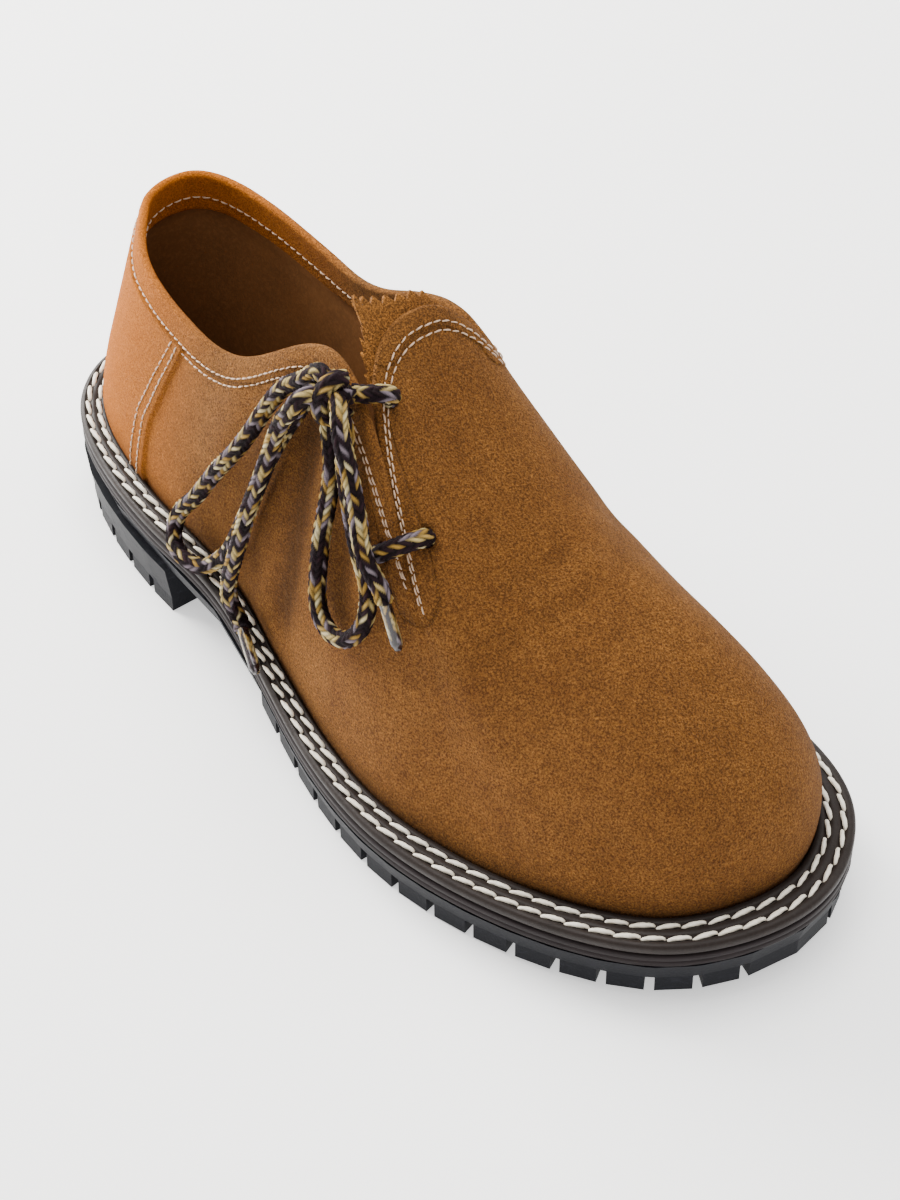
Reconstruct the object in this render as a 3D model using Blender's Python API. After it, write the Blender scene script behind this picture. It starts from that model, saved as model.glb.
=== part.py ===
"""Traditional suede shoe, right foot, laced at its side.

Frame: X runs along the foot with the toe at +X, Y across with the inner side of the foot at +Y, Z up, the floor at 0.
Shares of x count from the heel's back along LENGTH, shares of y are of WIDTH from the shoe's centre line.
"""
import math

import bmesh
import bpy
import numpy as np

for old in list(bpy.data.objects):
    bpy.data.objects.remove(old, do_unlink=True)

# driving sizes, metres
LENGTH = 0.302
WIDTH = 0.1186
HEEL_HEIGHT = 0.018
LUG_DEPTH = 0.0055
TOE_SPRING = 0.005
OUTSOLE_PLATE = 0.006
MIDSOLE_THICKNESS = 0.005
WELT_THICKNESS = 0.0035
THROAT_HEIGHT = 0.136
# walls and clearances
WALL = 0.0022
COUNTER_STEP = 0.0011
TONGUE_GAP = 0.0006
TONGUE_WALL = 0.0018
TONGUE_TUCK = 0.0045
INSOLE_THICKNESS = 0.0025
GAP = 0.0003
# tread
LUG_PITCH = 0.0134
NOTCH = 0.0028
LUG_RING = 0.024
RING_NOTCH = 0.003
BOTTOM_INSET = 0.0016
BREAST = 0.272
HEEL_LUGS = 7
FOREFOOT_START = 0.445
# lace
LACE_DIAMETER = 0.0048
HOLE_DIAMETER = 0.0056
AGLET_DIAMETER = 0.0034
AGLET_LENGTH = 0.016
KNOT_DIAMETER = 0.0070
# middle of the sole's outline, taken off every point at the end
CENTRE_X = 0.151
CENTRE_Y = 0.0

# sole outline: x share, outer side's y share, inner side's y share
OUTLINE = (
    ("heel back", 0.000, -0.018, -0.018),
    ("heel curve", 0.027, -0.187, 0.150),
    ("heel", 0.110, -0.313, 0.269),
    ("heel front", 0.252, -0.369, 0.298),
    ("waist", 0.370, -0.371, 0.298),
    ("ball back", 0.510, -0.444, 0.357),
    ("ball", 0.662, -0.500, 0.471),
    ("toe side", 0.805, -0.433, 0.498),
    ("toe curve", 0.910, -0.307, 0.446),
    ("toe corner", 0.9735, -0.141, 0.3065),
    ("toe tip", 1.000, 0.100, 0.100),
)
LAST = len(OUTLINE) - 1

# how far the upper stands inside the outline: station, metres
MARGIN = ((0.0, 0.0085), (3.0, 0.0085), (4.5, 0.0065), (6.5, 0.0098), (10.0, 0.0113))

# vamp rows: outer and inner station, ridge x, y and z shares, how far the row leans to its foot,
# outer side: height of the lower handle, bulge, reach of the upper handle, then the same for the inner side
VAMP = (
    ("throat", 6.70, 5.80, 0.493, 0.030, 0.993, 0.00, 0.30, 0.05, 0.70, -0.02, 0.01, 0.73),
    ("instep", 7.30, 7.00, 0.610, 0.036, 0.770, 0.10, 0.36, 0.05, 0.66, 0.18, 0.06, 0.56),
    ("ball", 8.00, 8.00, 0.720, 0.060, 0.678, 0.40, 0.46, 0.05, 0.60, 0.42, 0.11, 0.54),
    ("toe", 8.80, 8.80, 0.800, 0.078, 0.608, 0.80, 0.55, 0.06, 0.58, 0.57, 0.13, 0.55),
    ("toe corner", 9.50, 9.50, 0.835, 0.088, 0.568, 1.00, 0.59, 0.07, 0.58, 0.63, 0.12, 0.57),
    ("toe tip", 10.0, 10.0, 0.845, 0.092, 0.556, 1.00, 0.61, 0.08, 0.58, 0.61, 0.08, 0.58),
)
# handles of the throat row, metres from its foot and from its ridge: x, y, z
THROAT_FOOT = ("outer", -0.026, 0.013, 0.072)
THROAT_RIDGE = ("outer", -0.004, -0.034, 0.002)
SLIT_SHARE = 0.345
CORNER_SHARE = 0.76

# quarter rows: station, collar x, y and z shares, lower handle's lean out and rise, upper handle's lean out and drop
QUARTER = (
    ("outer front", -5.0, 0.457, -0.178, 0.934, 0.012, 0.30, 0.060, 0.26),
    ("outer waist", -4.0, 0.344, -0.208, 0.763, 0.014, 0.32, 0.070, 0.32),
    ("outer ankle", -3.0, 0.232, -0.187, 0.697, 0.012, 0.34, 0.050, 0.32),
    ("outer heel", -2.0, 0.133, -0.136, 0.701, 0.000, 0.34, 0.044, 0.32),
    ("outer back", -1.0, 0.085, -0.060, 0.723, -0.010, 0.34, 0.040, 0.32),
    ("back", 0.0, 0.064, -0.010, 0.730, -0.005, 0.34, 0.042, 0.32),
    ("inner back", 1.0, 0.056, 0.083, 0.741, 0.000, 0.34, 0.040, 0.32),
    ("inner heel", 2.0, 0.086, 0.201, 0.734, 0.008, 0.34, 0.030, 0.32),
    ("inner ankle", 3.0, 0.205, 0.247, 0.712, 0.012, 0.34, 0.020, 0.32),
    ("inner waist", 4.0, 0.325, 0.226, 0.741, 0.012, 0.32, 0.030, 0.32),
    ("inner front", 5.0, 0.444, 0.205, 0.876, 0.010, 0.30, 0.040, 0.26),
)
COUNTER_SEAM = 2.85
COUNTER_LEAN = ((0.0, -0.275), (0.15, -0.23), (0.40, -0.15), (0.65, 0.05), (0.875, 0.25), (1.0, 0.35))

# mesh density: rows up to the collar, rows up to the ridge, columns
QUARTER_ROWS = 9
VAMP_ROWS = 16
QUARTER_STEP = 0.25
VAMP_STEP = 0.2


def natural(points, at, where):
    """Natural cubic spline through points, carried on straight past both ends."""
    p = np.asarray(points, float)
    k = np.asarray(at, float)
    w = np.asarray(where, float)
    n = len(p)
    h = np.diff(k)
    a = np.eye(n)
    rhs = np.zeros_like(p)
    for i in range(1, n - 1):
        a[i, i - 1] = h[i - 1]
        a[i, i] = 2 * (h[i - 1] + h[i])
        a[i, i + 1] = h[i]
        rhs[i] = 6 * ((p[i + 1] - p[i]) / h[i] - (p[i] - p[i - 1]) / h[i - 1])
    m = np.linalg.solve(a, rhs.reshape(n, -1)).reshape(p.shape)
    inside = np.clip(w, k[0], k[-1])
    i = np.clip(np.searchsorted(k, inside, side="right") - 1, 0, n - 2)
    shape = w.shape + (1,) * (p.ndim - 1)
    step = h[i].reshape(shape)
    left = ((k[i + 1] - inside) / h[i]).reshape(shape)
    right = ((inside - k[i]) / h[i]).reshape(shape)
    curve = left * p[i] + right * p[i + 1]
    curve = curve + ((left ** 3 - left) * m[i] + (right ** 3 - right) * m[i + 1]) * step ** 2 / 6
    slope = (p[i + 1] - p[i]) / step
    slope = slope + ((3 * right ** 2 - 1) * m[i + 1] - (3 * left ** 2 - 1) * m[i]) * step / 6
    return curve + slope * (w - inside).reshape(shape)


def outline(station, inset=0.0):
    """Point on the sole outline: 0 heel back, 10 toe tip, negative on the outer side, moved in by inset."""
    outer = [(x, y) for _, x, y, _ in OUTLINE]
    inner = [(x, y) for _, x, _, y in OUTLINE[-2:0:-1]]
    ring = np.array(outer + inner) * (LENGTH, WIDTH)
    n = len(ring)
    looped = np.vstack([ring[-4:], ring, ring[:4]])
    at = np.arange(-4, n + 4)
    s = np.asarray(station, float)
    q = np.where(s <= 0, -s, n - s)
    e = 0.001
    along = natural(looped, at, q + e) - natural(looped, at, q - e)
    along /= np.linalg.norm(along, axis=-1, keepdims=True)
    inward = np.stack([-along[..., 1], along[..., 0]], -1)
    return natural(looped, at, q) + inward * np.asarray(inset)[..., None]


def ease(low, high, x):
    t = np.clip((x - low) / (high - low), 0, 1)
    return t * t * (3 - 2 * t)


def underside(x):
    """Height of the outsole plate's underside: level at the heel and at the ball, rising to the toe."""
    s = x / LENGTH
    z = HEEL_HEIGHT + (LUG_DEPTH - HEEL_HEIGHT) * ease(0.27, 0.56, s)
    return z + TOE_SPRING * np.clip((s - 0.66) / 0.34, 0, None) ** 1.8


def welt_top(x):
    return underside(x) + OUTSOLE_PLATE + MIDSOLE_THICKNESS + WELT_THICKNESS


def margin(station):
    return np.interp(np.abs(station), [a for a, _ in MARGIN], [b for _, b in MARGIN])


def feather(station):
    """The line where the upper meets the welt."""
    s = np.asarray(station, float)
    p = outline(s, margin(s))
    return np.concatenate([p, welt_top(p[..., 0])[..., None]], -1)


def bezier(c, t):
    t = np.asarray(t, float)[..., None]
    u = 1 - t
    return u ** 3 * c[..., 0, :] + 3 * u * u * t * c[..., 1, :] + 3 * u * t * t * c[..., 2, :] + t ** 3 * c[..., 3, :]


def first_part(c, share):
    """Handles of the first part of a cubic."""
    a = c[0] + (c[1] - c[0]) * share
    b = c[1] + (c[2] - c[1]) * share
    d = c[2] + (c[3] - c[2]) * share
    e = a + (b - a) * share
    f = b + (d - b) * share
    return np.array([c[0], a, e, e + (f - e) * share])


def vamp_handles(side, row):
    """Handles of the vamp's sections at row 0 (throat) to 5 (toe tip); side -1 outer, 1 inner."""
    knots = np.arange(len(VAMP))
    row = np.asarray(row, float)
    ridges = np.array([(r[3] * LENGTH, r[4] * WIDTH, r[5] * THROAT_HEIGHT) for r in VAMP])
    foot = feather(side * natural([r[1] if side < 0 else r[2] for r in VAMP], knots, knots))
    shape = np.array([(r[6],) + (r[7:10] if side < 0 else r[10:13]) for r in VAMP])
    fall = np.gradient(ridges[:, 2]) / np.gradient(ridges[:, 0])
    to_foot = foot - ridges
    rise = ridges[:, 2] - foot[:, 2]
    lean, low, bulge, reach = shape.T
    lower = foot.copy()
    lower[:, 0] += bulge * to_foot[:, 0]
    lower[:, 1] += bulge * to_foot[:, 1]
    lower[:, 2] += low * rise
    upper = ridges.copy()
    upper[:, 0] += reach * lean * to_foot[:, 0]
    upper[:, 1] += reach * to_foot[:, 1]
    upper[:, 2] += fall * reach * lean * to_foot[:, 0]
    if side < 0:
        lower[0] = foot[0] + THROAT_FOOT[1:]
        upper[0] = ridges[0] + THROAT_RIDGE[1:]
    offsets = np.stack([lower - foot, upper - foot, ridges - foot], 1)
    here = feather(side * natural([r[1] if side < 0 else r[2] for r in VAMP], knots, row))
    d = natural(offsets, knots, row)
    ridge = natural(ridges, knots, row)
    return np.stack([here, here + d[:, 0], ridge + (d[:, 1] - d[:, 2]), ridge], 1)


def vamp(side, row, t):
    return bezier(vamp_handles(side, np.atleast_1d(row)), np.atleast_1d(t))


def quarter_handles(station):
    """Handles of the quarters' and counter's sections, from the outer throat row round the heel to the inner one."""
    rows = []
    at = []
    outer = first_part(vamp_handles(-1, [0.0])[0], SLIT_SHARE)
    inner = first_part(vamp_handles(1, [0.0])[0], CORNER_SHARE)
    rows.append(outer - outer[0])
    at.append(-VAMP[0][1])
    for _, s, x, y, z, low_out, low_up, top_out, top_drop in QUARTER:
        foot = feather(np.array([s]))[0]
        out = (outline(np.array([s])) - outline(np.array([s]), 0.001))[0] / 0.001
        top = np.array([x * LENGTH, y * WIDTH, z * THROAT_HEIGHT])
        rise = top[2] - foot[2]
        lower = foot + (out[0] * low_out * WIDTH, out[1] * low_out * WIDTH, low_up * rise)
        upper = top + (out[0] * top_out * WIDTH, out[1] * top_out * WIDTH, -top_drop * rise)
        rows.append(np.array([foot, lower, upper, top]) - foot)
        at.append(s)
    rows.append(inner - inner[0])
    at.append(VAMP[0][2])
    s = np.atleast_1d(np.asarray(station, float))
    return feather(s)[:, None, :] + natural(np.array(rows), at, s)


def quarter(station, t):
    return bezier(quarter_handles(station), np.atleast_1d(t))


def leaned(station, share):
    """Station of a quarter mesh column at a height: the columns lean along with the counter's front edge."""
    table = np.array(COUNTER_LEAN)
    near = max(0.0, 1.0 - abs(abs(station) - COUNTER_SEAM) / 1.2)
    return station + math.copysign(1.0, station) * near * np.interp(share, table[:, 0], table[:, 1])


def vamp_shares(side, row):
    """Heights of the mesh rows on one vamp section, packed at the throat to meet the quarter's rows."""
    k = QUARTER_ROWS
    n = VAMP_ROWS
    split = SLIT_SHARE if side < 0 else CORNER_SHARE
    even = np.arange(n + 1) / n
    packed = np.concatenate([split * np.arange(k) / k, split + (1 - split) * np.arange(n - k + 1) / (n - k)])
    w = ease(0.0, 3.0, float(row))
    return packed * (1 - w) + even * w


def link(name, verts, faces, slot):
    """One mesh object with its own material."""
    mesh = bpy.data.meshes.new(name)
    mesh.from_pydata([tuple(map(float, v)) for v in verts], [], faces)
    mesh.update()
    obj = bpy.data.objects.new(name, mesh)
    bpy.context.scene.collection.objects.link(obj)
    color, rough = SLOTS[slot]
    mat = bpy.data.materials.new(slot)
    mat.use_nodes = True
    shader = mat.node_tree.nodes["Principled BSDF"]
    shader.inputs["Base Color"].default_value = color
    shader.inputs["Roughness"].default_value = rough
    obj.data.materials.append(mat)
    return obj


SLOTS = {
    "outsole_rubber": ((0.035, 0.037, 0.047, 1), 0.55),
    "heel_rubber": ((0.035, 0.037, 0.047, 1), 0.55),
    "midsole_brown": ((0.105, 0.078, 0.080, 1), 0.6),
    "welt_leather": ((0.085, 0.068, 0.058, 1), 0.45),
    "suede": ((0.39, 0.17, 0.05, 1), 0.95),
    "tongue_suede": ((0.36, 0.15, 0.045, 1), 0.95),
    "insole_leather": ((0.40, 0.24, 0.11, 1), 0.6),
    "lace_bar_low": ((0.10, 0.07, 0.055, 1), 0.8),
    "lace_bar_top": ((0.10, 0.07, 0.055, 1), 0.8),
    "lace_knot": ((0.10, 0.07, 0.055, 1), 0.8),
    "lace_loop_back": ((0.10, 0.07, 0.055, 1), 0.8),
    "lace_loop_front": ((0.10, 0.07, 0.055, 1), 0.8),
    "lace_end_back": ((0.10, 0.07, 0.055, 1), 0.8),
    "lace_end_front": ((0.10, 0.07, 0.055, 1), 0.8),
    "aglet_back": ((0.12, 0.10, 0.10, 1), 0.3),
    "aglet_front": ((0.12, 0.10, 0.10, 1), 0.3),
}


def recalc(obj, smooth):
    bm = bmesh.new()
    bm.from_mesh(obj.data)
    bmesh.ops.recalc_face_normals(bm, faces=bm.faces)
    bm.to_mesh(obj.data)
    bm.free()
    for poly in obj.data.polygons:
        poly.use_smooth = smooth
    if smooth:
        obj.data.set_sharp_from_angle(angle=math.radians(40))


def plate(name, slot, low, high, low_z, high_z, step=0.25):
    """A solid between two closed outlines: low and high give its inset, low_z and high_z its heights."""
    n = int(LAST / step)
    rungs = [i * step for i in range(n + 1)]
    loop = [-a for a in rungs] + [a for a in rungs[-2:0:-1]]
    verts = []
    for inset, height in ((low, low_z), (high, high_z)):
        s = np.array(loop)
        p = outline(s, inset(s))
        for q in p:
            verts.append((q[0], q[1], height(q[0])))
    m = len(loop)
    faces = []
    for i in range(m):
        j = (i + 1) % m
        faces.append((i, j, m + j, m + i))
    for base in (0, m):
        for i in range(n):
            a, b = base + i, base + i + 1
            c, d = base + (m - i - 1) % m, base + (m - i) % m
            if i == 0:
                faces.append((a, b, base + m - 1))
            elif i == n - 1:
                faces.append((a, b, d))
            else:
                faces.append((a, b, c, d))
    obj = link(name, verts, faces, slot)
    recalc(obj, True)
    return obj


def outer_run():
    """Distances along the outer side of the outline and their stations."""
    a = np.linspace(0, LAST, 2001)
    p = outline(-a)
    run = np.concatenate([[0], np.cumsum(np.hypot(*np.diff(p, axis=0).T))])
    return a, p[:, 0], run


def lug_marks(first, count):
    """Lug and notch edges from distance first on: (station, whether a lug follows)."""
    a, _, run = outer_run()
    marks = []
    for i in range(count):
        start = first + i * LUG_PITCH
        marks.append((float(np.interp(start, run, a)), True))
        marks.append((float(np.interp(start + LUG_PITCH - NOTCH, run, a)), False))
    return marks


def tread(name, slot, rungs, under, over, caps, lug_drop):
    """Rubber body from rungs (station, lug after it): bottom in rings and pads, lugs pulled down, then its top.

    under gives the height of the bottom without lugs, over that of the top. caps holds, for the heel and the toe end,
    None for a straight cut or whether the rounded end is a lug.
    """
    insets = (BOTTOM_INSET, LUG_RING, LUG_RING + RING_NOTCH)
    verts = []
    grid = []
    for a, _ in rungs:
        row = []
        outer = [outline(np.array([-a]), np.array([d]))[0] for d in insets]
        inner = [outline(np.array([a]), np.array([d]))[0] for d in insets]
        mid = (outer[2] + inner[2]) / 2
        for q in outer + [mid] + inner[::-1]:
            row.append(len(verts))
            verts.append((q[0], q[1], under(q[0])))
        grid.append(row)
    faces = []
    lugs = []
    for i in range(len(rungs) - 1):
        for k in range(6):
            face = (grid[i][k], grid[i][k + 1], grid[i + 1][k + 1], grid[i + 1][k])
            if rungs[i][1] and k in (0, 2, 3, 5):
                lugs.append(len(faces))
            faces.append(face)
    tips = {}
    for end, centre in ((0, 0.0), (-1, float(LAST))):
        if caps[end] is None:
            continue
        row = grid[end]
        tip = []
        for d in insets[:2]:
            q = outline(np.array([-centre]), np.array([d]))[0]
            tip.append(len(verts))
            verts.append((q[0], q[1], under(q[0])))
        if caps[end]:
            lugs += [len(faces), len(faces) + 1]
        faces.append((row[0], tip[0], tip[1], row[1]))
        faces.append((row[6], row[5], tip[1], tip[0]))
        faces.append((row[1], tip[1], row[5], row[4], row[3], row[2]))
        tips[end] = tip[0]
    outer_low = [row[0] for row in grid]
    inner_low = [row[6] for row in grid]
    top = []
    for a, _ in rungs:
        pair = []
        for s in (-a, a):
            q = outline(np.array([s]), np.array([0.0]))[0]
            pair.append(len(verts))
            verts.append((q[0], q[1], over(q[0])))
        top.append(pair)
    for i in range(len(rungs) - 1):
        faces.append((top[i][0], top[i + 1][0], top[i + 1][1], top[i][1]))
        faces.append((outer_low[i], outer_low[i + 1], top[i + 1][0], top[i][0]))
        faces.append((inner_low[i], inner_low[i + 1], top[i + 1][1], top[i][1]))
    for end, centre in ((0, 0.0), (-1, float(LAST))):
        if caps[end] is not None:
            q = outline(np.array([-centre]), np.array([0.0]))[0]
            high = len(verts)
            verts.append((q[0], q[1], over(q[0])))
            faces.append((top[end][0], high, top[end][1]))
            faces.append((outer_low[end], tips[end], high, top[end][0]))
            faces.append((inner_low[end], tips[end], high, top[end][1]))
        else:
            faces.append(tuple(grid[end]) + (top[end][1], top[end][0]))
    obj = link(name, verts, faces, slot)
    bm = bmesh.new()
    bm.from_mesh(obj.data)
    bmesh.ops.recalc_face_normals(bm, faces=bm.faces)
    bm.faces.ensure_lookup_table()
    picked = [bm.faces[i] for i in lugs]
    made = bmesh.ops.extrude_face_region(bm, geom=picked)
    for v in [g for g in made["geom"] if isinstance(g, bmesh.types.BMVert)]:
        v.co.z -= lug_drop
    bmesh.ops.delete(bm, geom=picked, context="FACES_ONLY")
    bmesh.ops.delete(bm, geom=[e for e in bm.edges if not e.link_faces], context="EDGES")
    bmesh.ops.recalc_face_normals(bm, faces=bm.faces)
    bm.to_mesh(obj.data)
    bm.free()
    return obj


def sheet_solid(name, slot, verts, faces, outside, inside):
    """Close a sheet into a wall: outside and inside give each vertex's move along its normal."""
    bm = bmesh.new()
    made = [bm.verts.new(v) for v in verts]
    for f in faces:
        bm.faces.new([made[i] for i in f])
    bmesh.ops.recalc_face_normals(bm, faces=bm.faces)
    bm.normal_update()
    centre = np.mean(np.array(verts), axis=0)
    facing = 0.0
    for f in bm.faces:
        c = np.array(f.calc_center_median())
        facing += float(np.dot(np.array(f.normal)[:2], (c - centre)[:2])) * f.calc_area()
    turn = 1.0 if facing > 0 else -1.0
    normals = [np.array(v.normal) * turn for v in made]
    bm.verts.index_update()
    edges = [(e.verts[0].index, e.verts[1].index) for e in bm.edges if len(e.link_faces) == 1]
    bm.free()
    n = len(verts)
    base = np.array(verts, float)
    nrm = np.array(normals)
    out = base + nrm * np.asarray(outside, float)[:, None]
    ins = base - nrm * np.asarray(inside, float)[:, None]
    quads = [tuple(f) for f in faces]
    quads += [tuple(n + i for i in reversed(f)) for f in faces]
    quads += [(a, b, n + b, n + a) for a, b in edges]
    obj = link(name, list(out) + list(ins), quads, slot)
    recalc(obj, True)
    return obj


def upper_sheet():
    """The upper's outer sheet: its vertices, faces and how far each stands out as counter."""
    verts = []
    faces = []
    raised = []
    k = QUARTER_ROWS
    n = VAMP_ROWS
    first = -VAMP[0][1]
    last = VAMP[0][2]
    columns = [s for s in np.arange(math.ceil(first / QUARTER_STEP) * QUARTER_STEP, last, QUARTER_STEP)]
    columns = [s for s in columns if s - first > 0.08 and last - s > 0.08]
    for seam in (-COUNTER_SEAM, COUNTER_SEAM):
        columns = [s for s in columns if abs(s - seam) > 0.1]
        columns += [seam - 0.02, seam + 0.02]
    columns = [first] + sorted(columns) + [last]
    drop = np.array([0.0, 0.0, -(WELT_THICKNESS - GAP)])
    quarter_ids = []
    for s in columns:
        p = quarter(leaned(s, np.arange(k + 1) / k), np.arange(k + 1) / k)
        if s == first:
            p = vamp(-1, np.zeros(k + 1), vamp_shares(-1, 0)[:k + 1])
        if s == last:
            p = vamp(1, np.zeros(k + 1), vamp_shares(1, 0)[:k + 1])
        out = abs(s) < COUNTER_SEAM
        ids = []
        for j, q in enumerate([p[0] + drop] + list(p)):
            ids.append(len(verts))
            verts.append(q)
            raised.append(COUNTER_STEP if out and j > 1 else 0.0)
        quarter_ids.append(ids)
    for a, b in zip(quarter_ids, quarter_ids[1:]):
        for j in range(k + 1):
            faces.append((a[j], b[j], b[j + 1], a[j + 1]))
    rows = np.arange(0, len(VAMP) - 1 + 0.001, VAMP_STEP)
    ridge_ids = []
    for side, start in ((-1, quarter_ids[0]), (1, quarter_ids[-1])):
        before = None
        for c, row in enumerate(rows):
            end = c == len(rows) - 1
            if side > 0 and end:
                ids = tip_ids
            else:
                p = vamp(side, np.full(n + 1, row), vamp_shares(side, row))
                ids = []
                for j, q in enumerate([p[0] + drop] + list(p)):
                    if c == 0 and j <= k + 1:
                        ids.append(start[j])
                    elif side > 0 and j == n + 1:
                        ids.append(ridge_ids[c])
                    else:
                        ids.append(len(verts))
                        verts.append(q)
                        raised.append(0.0)
                if side < 0:
                    ridge_ids.append(ids[-1])
                    tip_ids = ids
            if before is not None:
                for j in range(n + 1):
                    faces.append((before[j], ids[j], ids[j + 1], before[j + 1]))
            before = ids
    return verts, faces, raised


def tongue_sheet():
    """The tongue under the throat and the slit, its free edge pinked and its side tucked in behind the quarter."""
    verts = []
    faces = []
    spots = []
    for side, low, high, count in TONGUE_SPAN:
        t = np.linspace(low, high, count)
        if side > 0:
            t = t[::-1][1:]
        for share in t:
            spots.append((side, share))
    rows = (0.0, 0.2, 0.4, 0.7, 1.0)
    grid = []
    for i, (side, share) in enumerate(spots):
        across = i / (len(spots) - 1)
        start = float(np.interp(across, [a for a, _ in TONGUE_TOP], [b for _, b in TONGUE_TOP]))
        start += TONGUE_PINK * (1 if i % 2 else -1)
        ids = []
        for r in rows:
            row = start + (TONGUE_FRONT - start) * r
            ids.append(len(verts))
            tuck = TONGUE_TUCK * (1 - ease(0.70, 0.90, share)) * (1 - ease(0.1, 0.7, row)) if side < 0 else 0.0
            verts.append(vamp(side, row, share)[0] + (0.0, tuck, 0.0))
        grid.append(ids)
    for a, b in zip(grid, grid[1:]):
        for j in range(len(rows) - 1):
            faces.append((a[j], b[j], b[j + 1], a[j + 1]))
    return verts, faces, np.full(len(verts), WALL + TONGUE_GAP)


# tongue: side, lowest and highest share of the section, count of columns
TONGUE_SPAN = ((-1, 0.34, 1.0, 25), (1, 0.62, 1.0, 12))
# where its free edge stands behind the throat row: share across, rows
TONGUE_TOP = (
    (0.0, 0.05), (0.20, -0.22), (0.34, -0.30), (0.42, -0.22), (0.50, -0.25), (0.56, -0.20), (0.68, -0.125),
    (0.77, -0.10), (1.0, 0.15))
TONGUE_FRONT = 0.9
TONGUE_PINK = 0.035

# eyelet holes: part, row or station, share up the section
HOLES = (
    ("vamp top", "vamp", 0.12, 0.750),
    ("vamp low", "vamp", 0.40, 0.575),
    ("quarter top", "quarter", -5.20, 0.870),
    ("quarter low", "quarter", -6.10, 0.780),
)
# a bar's end reaches this far under the outer face, rises straight this far over it and turns with this radius
BAR_DEPTH = 0.0024
BAR_LEG = 0.0012
BAR_BEND = 0.0032

# lace routes in the finished frame, millimetres: x, y, z from the knot on
KNOT_ROUTE = (
    (3.6, -28.8, 131.6), (3.0, -29.5, 126.2), (2.4, -30.2, 120.9))
LOOP_BACK_ROUTE = (
    (-0.51, -28.86, 129.39), (-3.54, -28.63, 129.70), (-9.40, -28.70, 124.60), (-13.60, -28.80, 120.60),
    (-19.90, -28.90, 114.70), (-28.30, -31.20, 101.10), (-35.70, -34.60, 86.00), (-46.30, -37.40, 69.50),
    (-57.40, -39.40, 51.80), (-63.30, -41.40, 41.00), (-60.80, -44.20, 36.00), (-54.60, -45.20, 35.00),
    (-47.80, -43.80, 35.40), (-42.40, -41.20, 40.20), (-33.40, -40.80, 54.20), (-28.50, -39.50, 66.70),
    (-24.20, -36.90, 81.30), (-19.30, -32.90, 97.40), (-13.40, -30.40, 110.00), (-9.20, -29.80, 118.00),
    (-4.20, -29.80, 123.96), (-1.17, -29.84, 123.62))
END_BACK_ROUTE = (
    (0.89, -32.70, 126.65), (-0.76, -35.22, 127.16), (-4.90, -37.60, 120.80), (-8.90, -37.40, 115.30),
    (-13.90, -37.90, 104.10), (-17.40, -40.00, 91.00), (-20.60, -43.00, 77.80), (-23.40, -45.40, 64.30),
    (-27.40, -45.90, 52.00), (-30.60, -45.60, 42.00), (-30.40, -45.60, 35.60), (-26.52, -45.25, 30.33),
    (-23.97, -46.26, 29.78))
LOOP_FRONT_ROUTE = (
    (2.36, -30.25, 120.55), (2.05, -30.61, 117.75), (5.30, -32.60, 108.60), (7.00, -35.20, 98.30),
    (7.90, -38.90, 85.50), (10.20, -42.60, 72.70), (14.20, -45.20, 65.10), (22.30, -46.40, 63.00),
    (29.60, -45.20, 67.60), (32.10, -42.40, 76.60), (30.20, -40.50, 84.60), (25.20, -38.90, 90.20),
    (19.40, -36.80, 97.70), (13.80, -34.30, 106.80), (11.80, -33.20, 112.60), (11.20, -32.20, 117.40),
    (9.36, -31.36, 122.43), (6.39, -30.72, 122.68))
END_FRONT_ROUTE = (
    (6.69, -30.97, 128.86), (9.37, -32.43, 128.75), (14.00, -35.80, 125.40), (18.40, -37.20, 119.20),
    (22.40, -38.40, 111.60), (27.60, -40.60, 104.20), (32.60, -42.60, 97.00), (38.81, -42.09, 89.41),
    (39.76, -42.01, 86.78))
TOP_BAR_END = (
    (7.88, -24.79, 127.92), (6.06, -26.52, 128.35))
# aglets: from, to
AGLET_BACK = (
    (-23.6, -46.4, 29.7), (-9.6, -51.9, 26.7))
AGLET_FRONT = (
    (39.9, -42.0, 86.4), (44.9, -41.6, 72.6))


def hole_frame(kind, where, share):
    """Point on the upper's outer face and the direction out of it."""
    def at(a, t):
        return vamp(-1, a, t)[0] if kind == "vamp" else quarter(a, t)[0]
    p = at(where, share)
    du = at(where + 0.02, share) - at(where - 0.02, share)
    dt = at(where, share + 0.01) - at(where, share - 0.01)
    out = np.cross(du, dt)
    out /= np.linalg.norm(out)
    if out[1] > 0:
        out = -out
    return p, out


def basis(direction):
    z = np.asarray(direction, float)
    z = z / np.linalg.norm(z)
    x = np.cross(z, (0.0, 0.0, 1.0) if abs(z[2]) < 0.9 else (1.0, 0.0, 0.0))
    x /= np.linalg.norm(x)
    return x, np.cross(z, x), z


def cutter(name, point, direction, radius, half, sides=20):
    x, y, z = basis(direction)
    verts = []
    for h in (-half, half):
        for i in range(sides):
            a = 2 * math.pi * i / sides
            verts.append(point + z * h + (x * math.cos(a) + y * math.sin(a)) * radius)
    faces = [tuple(range(sides)), tuple(range(2 * sides - 1, sides - 1, -1))]
    for i in range(sides):
        j = (i + 1) % sides
        faces.append((i, j, sides + j, sides + i))
    obj = link(name, verts, faces, "suede")
    recalc(obj, False)
    obj.hide_render = True
    obj.display_type = "WIRE"
    return obj


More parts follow.
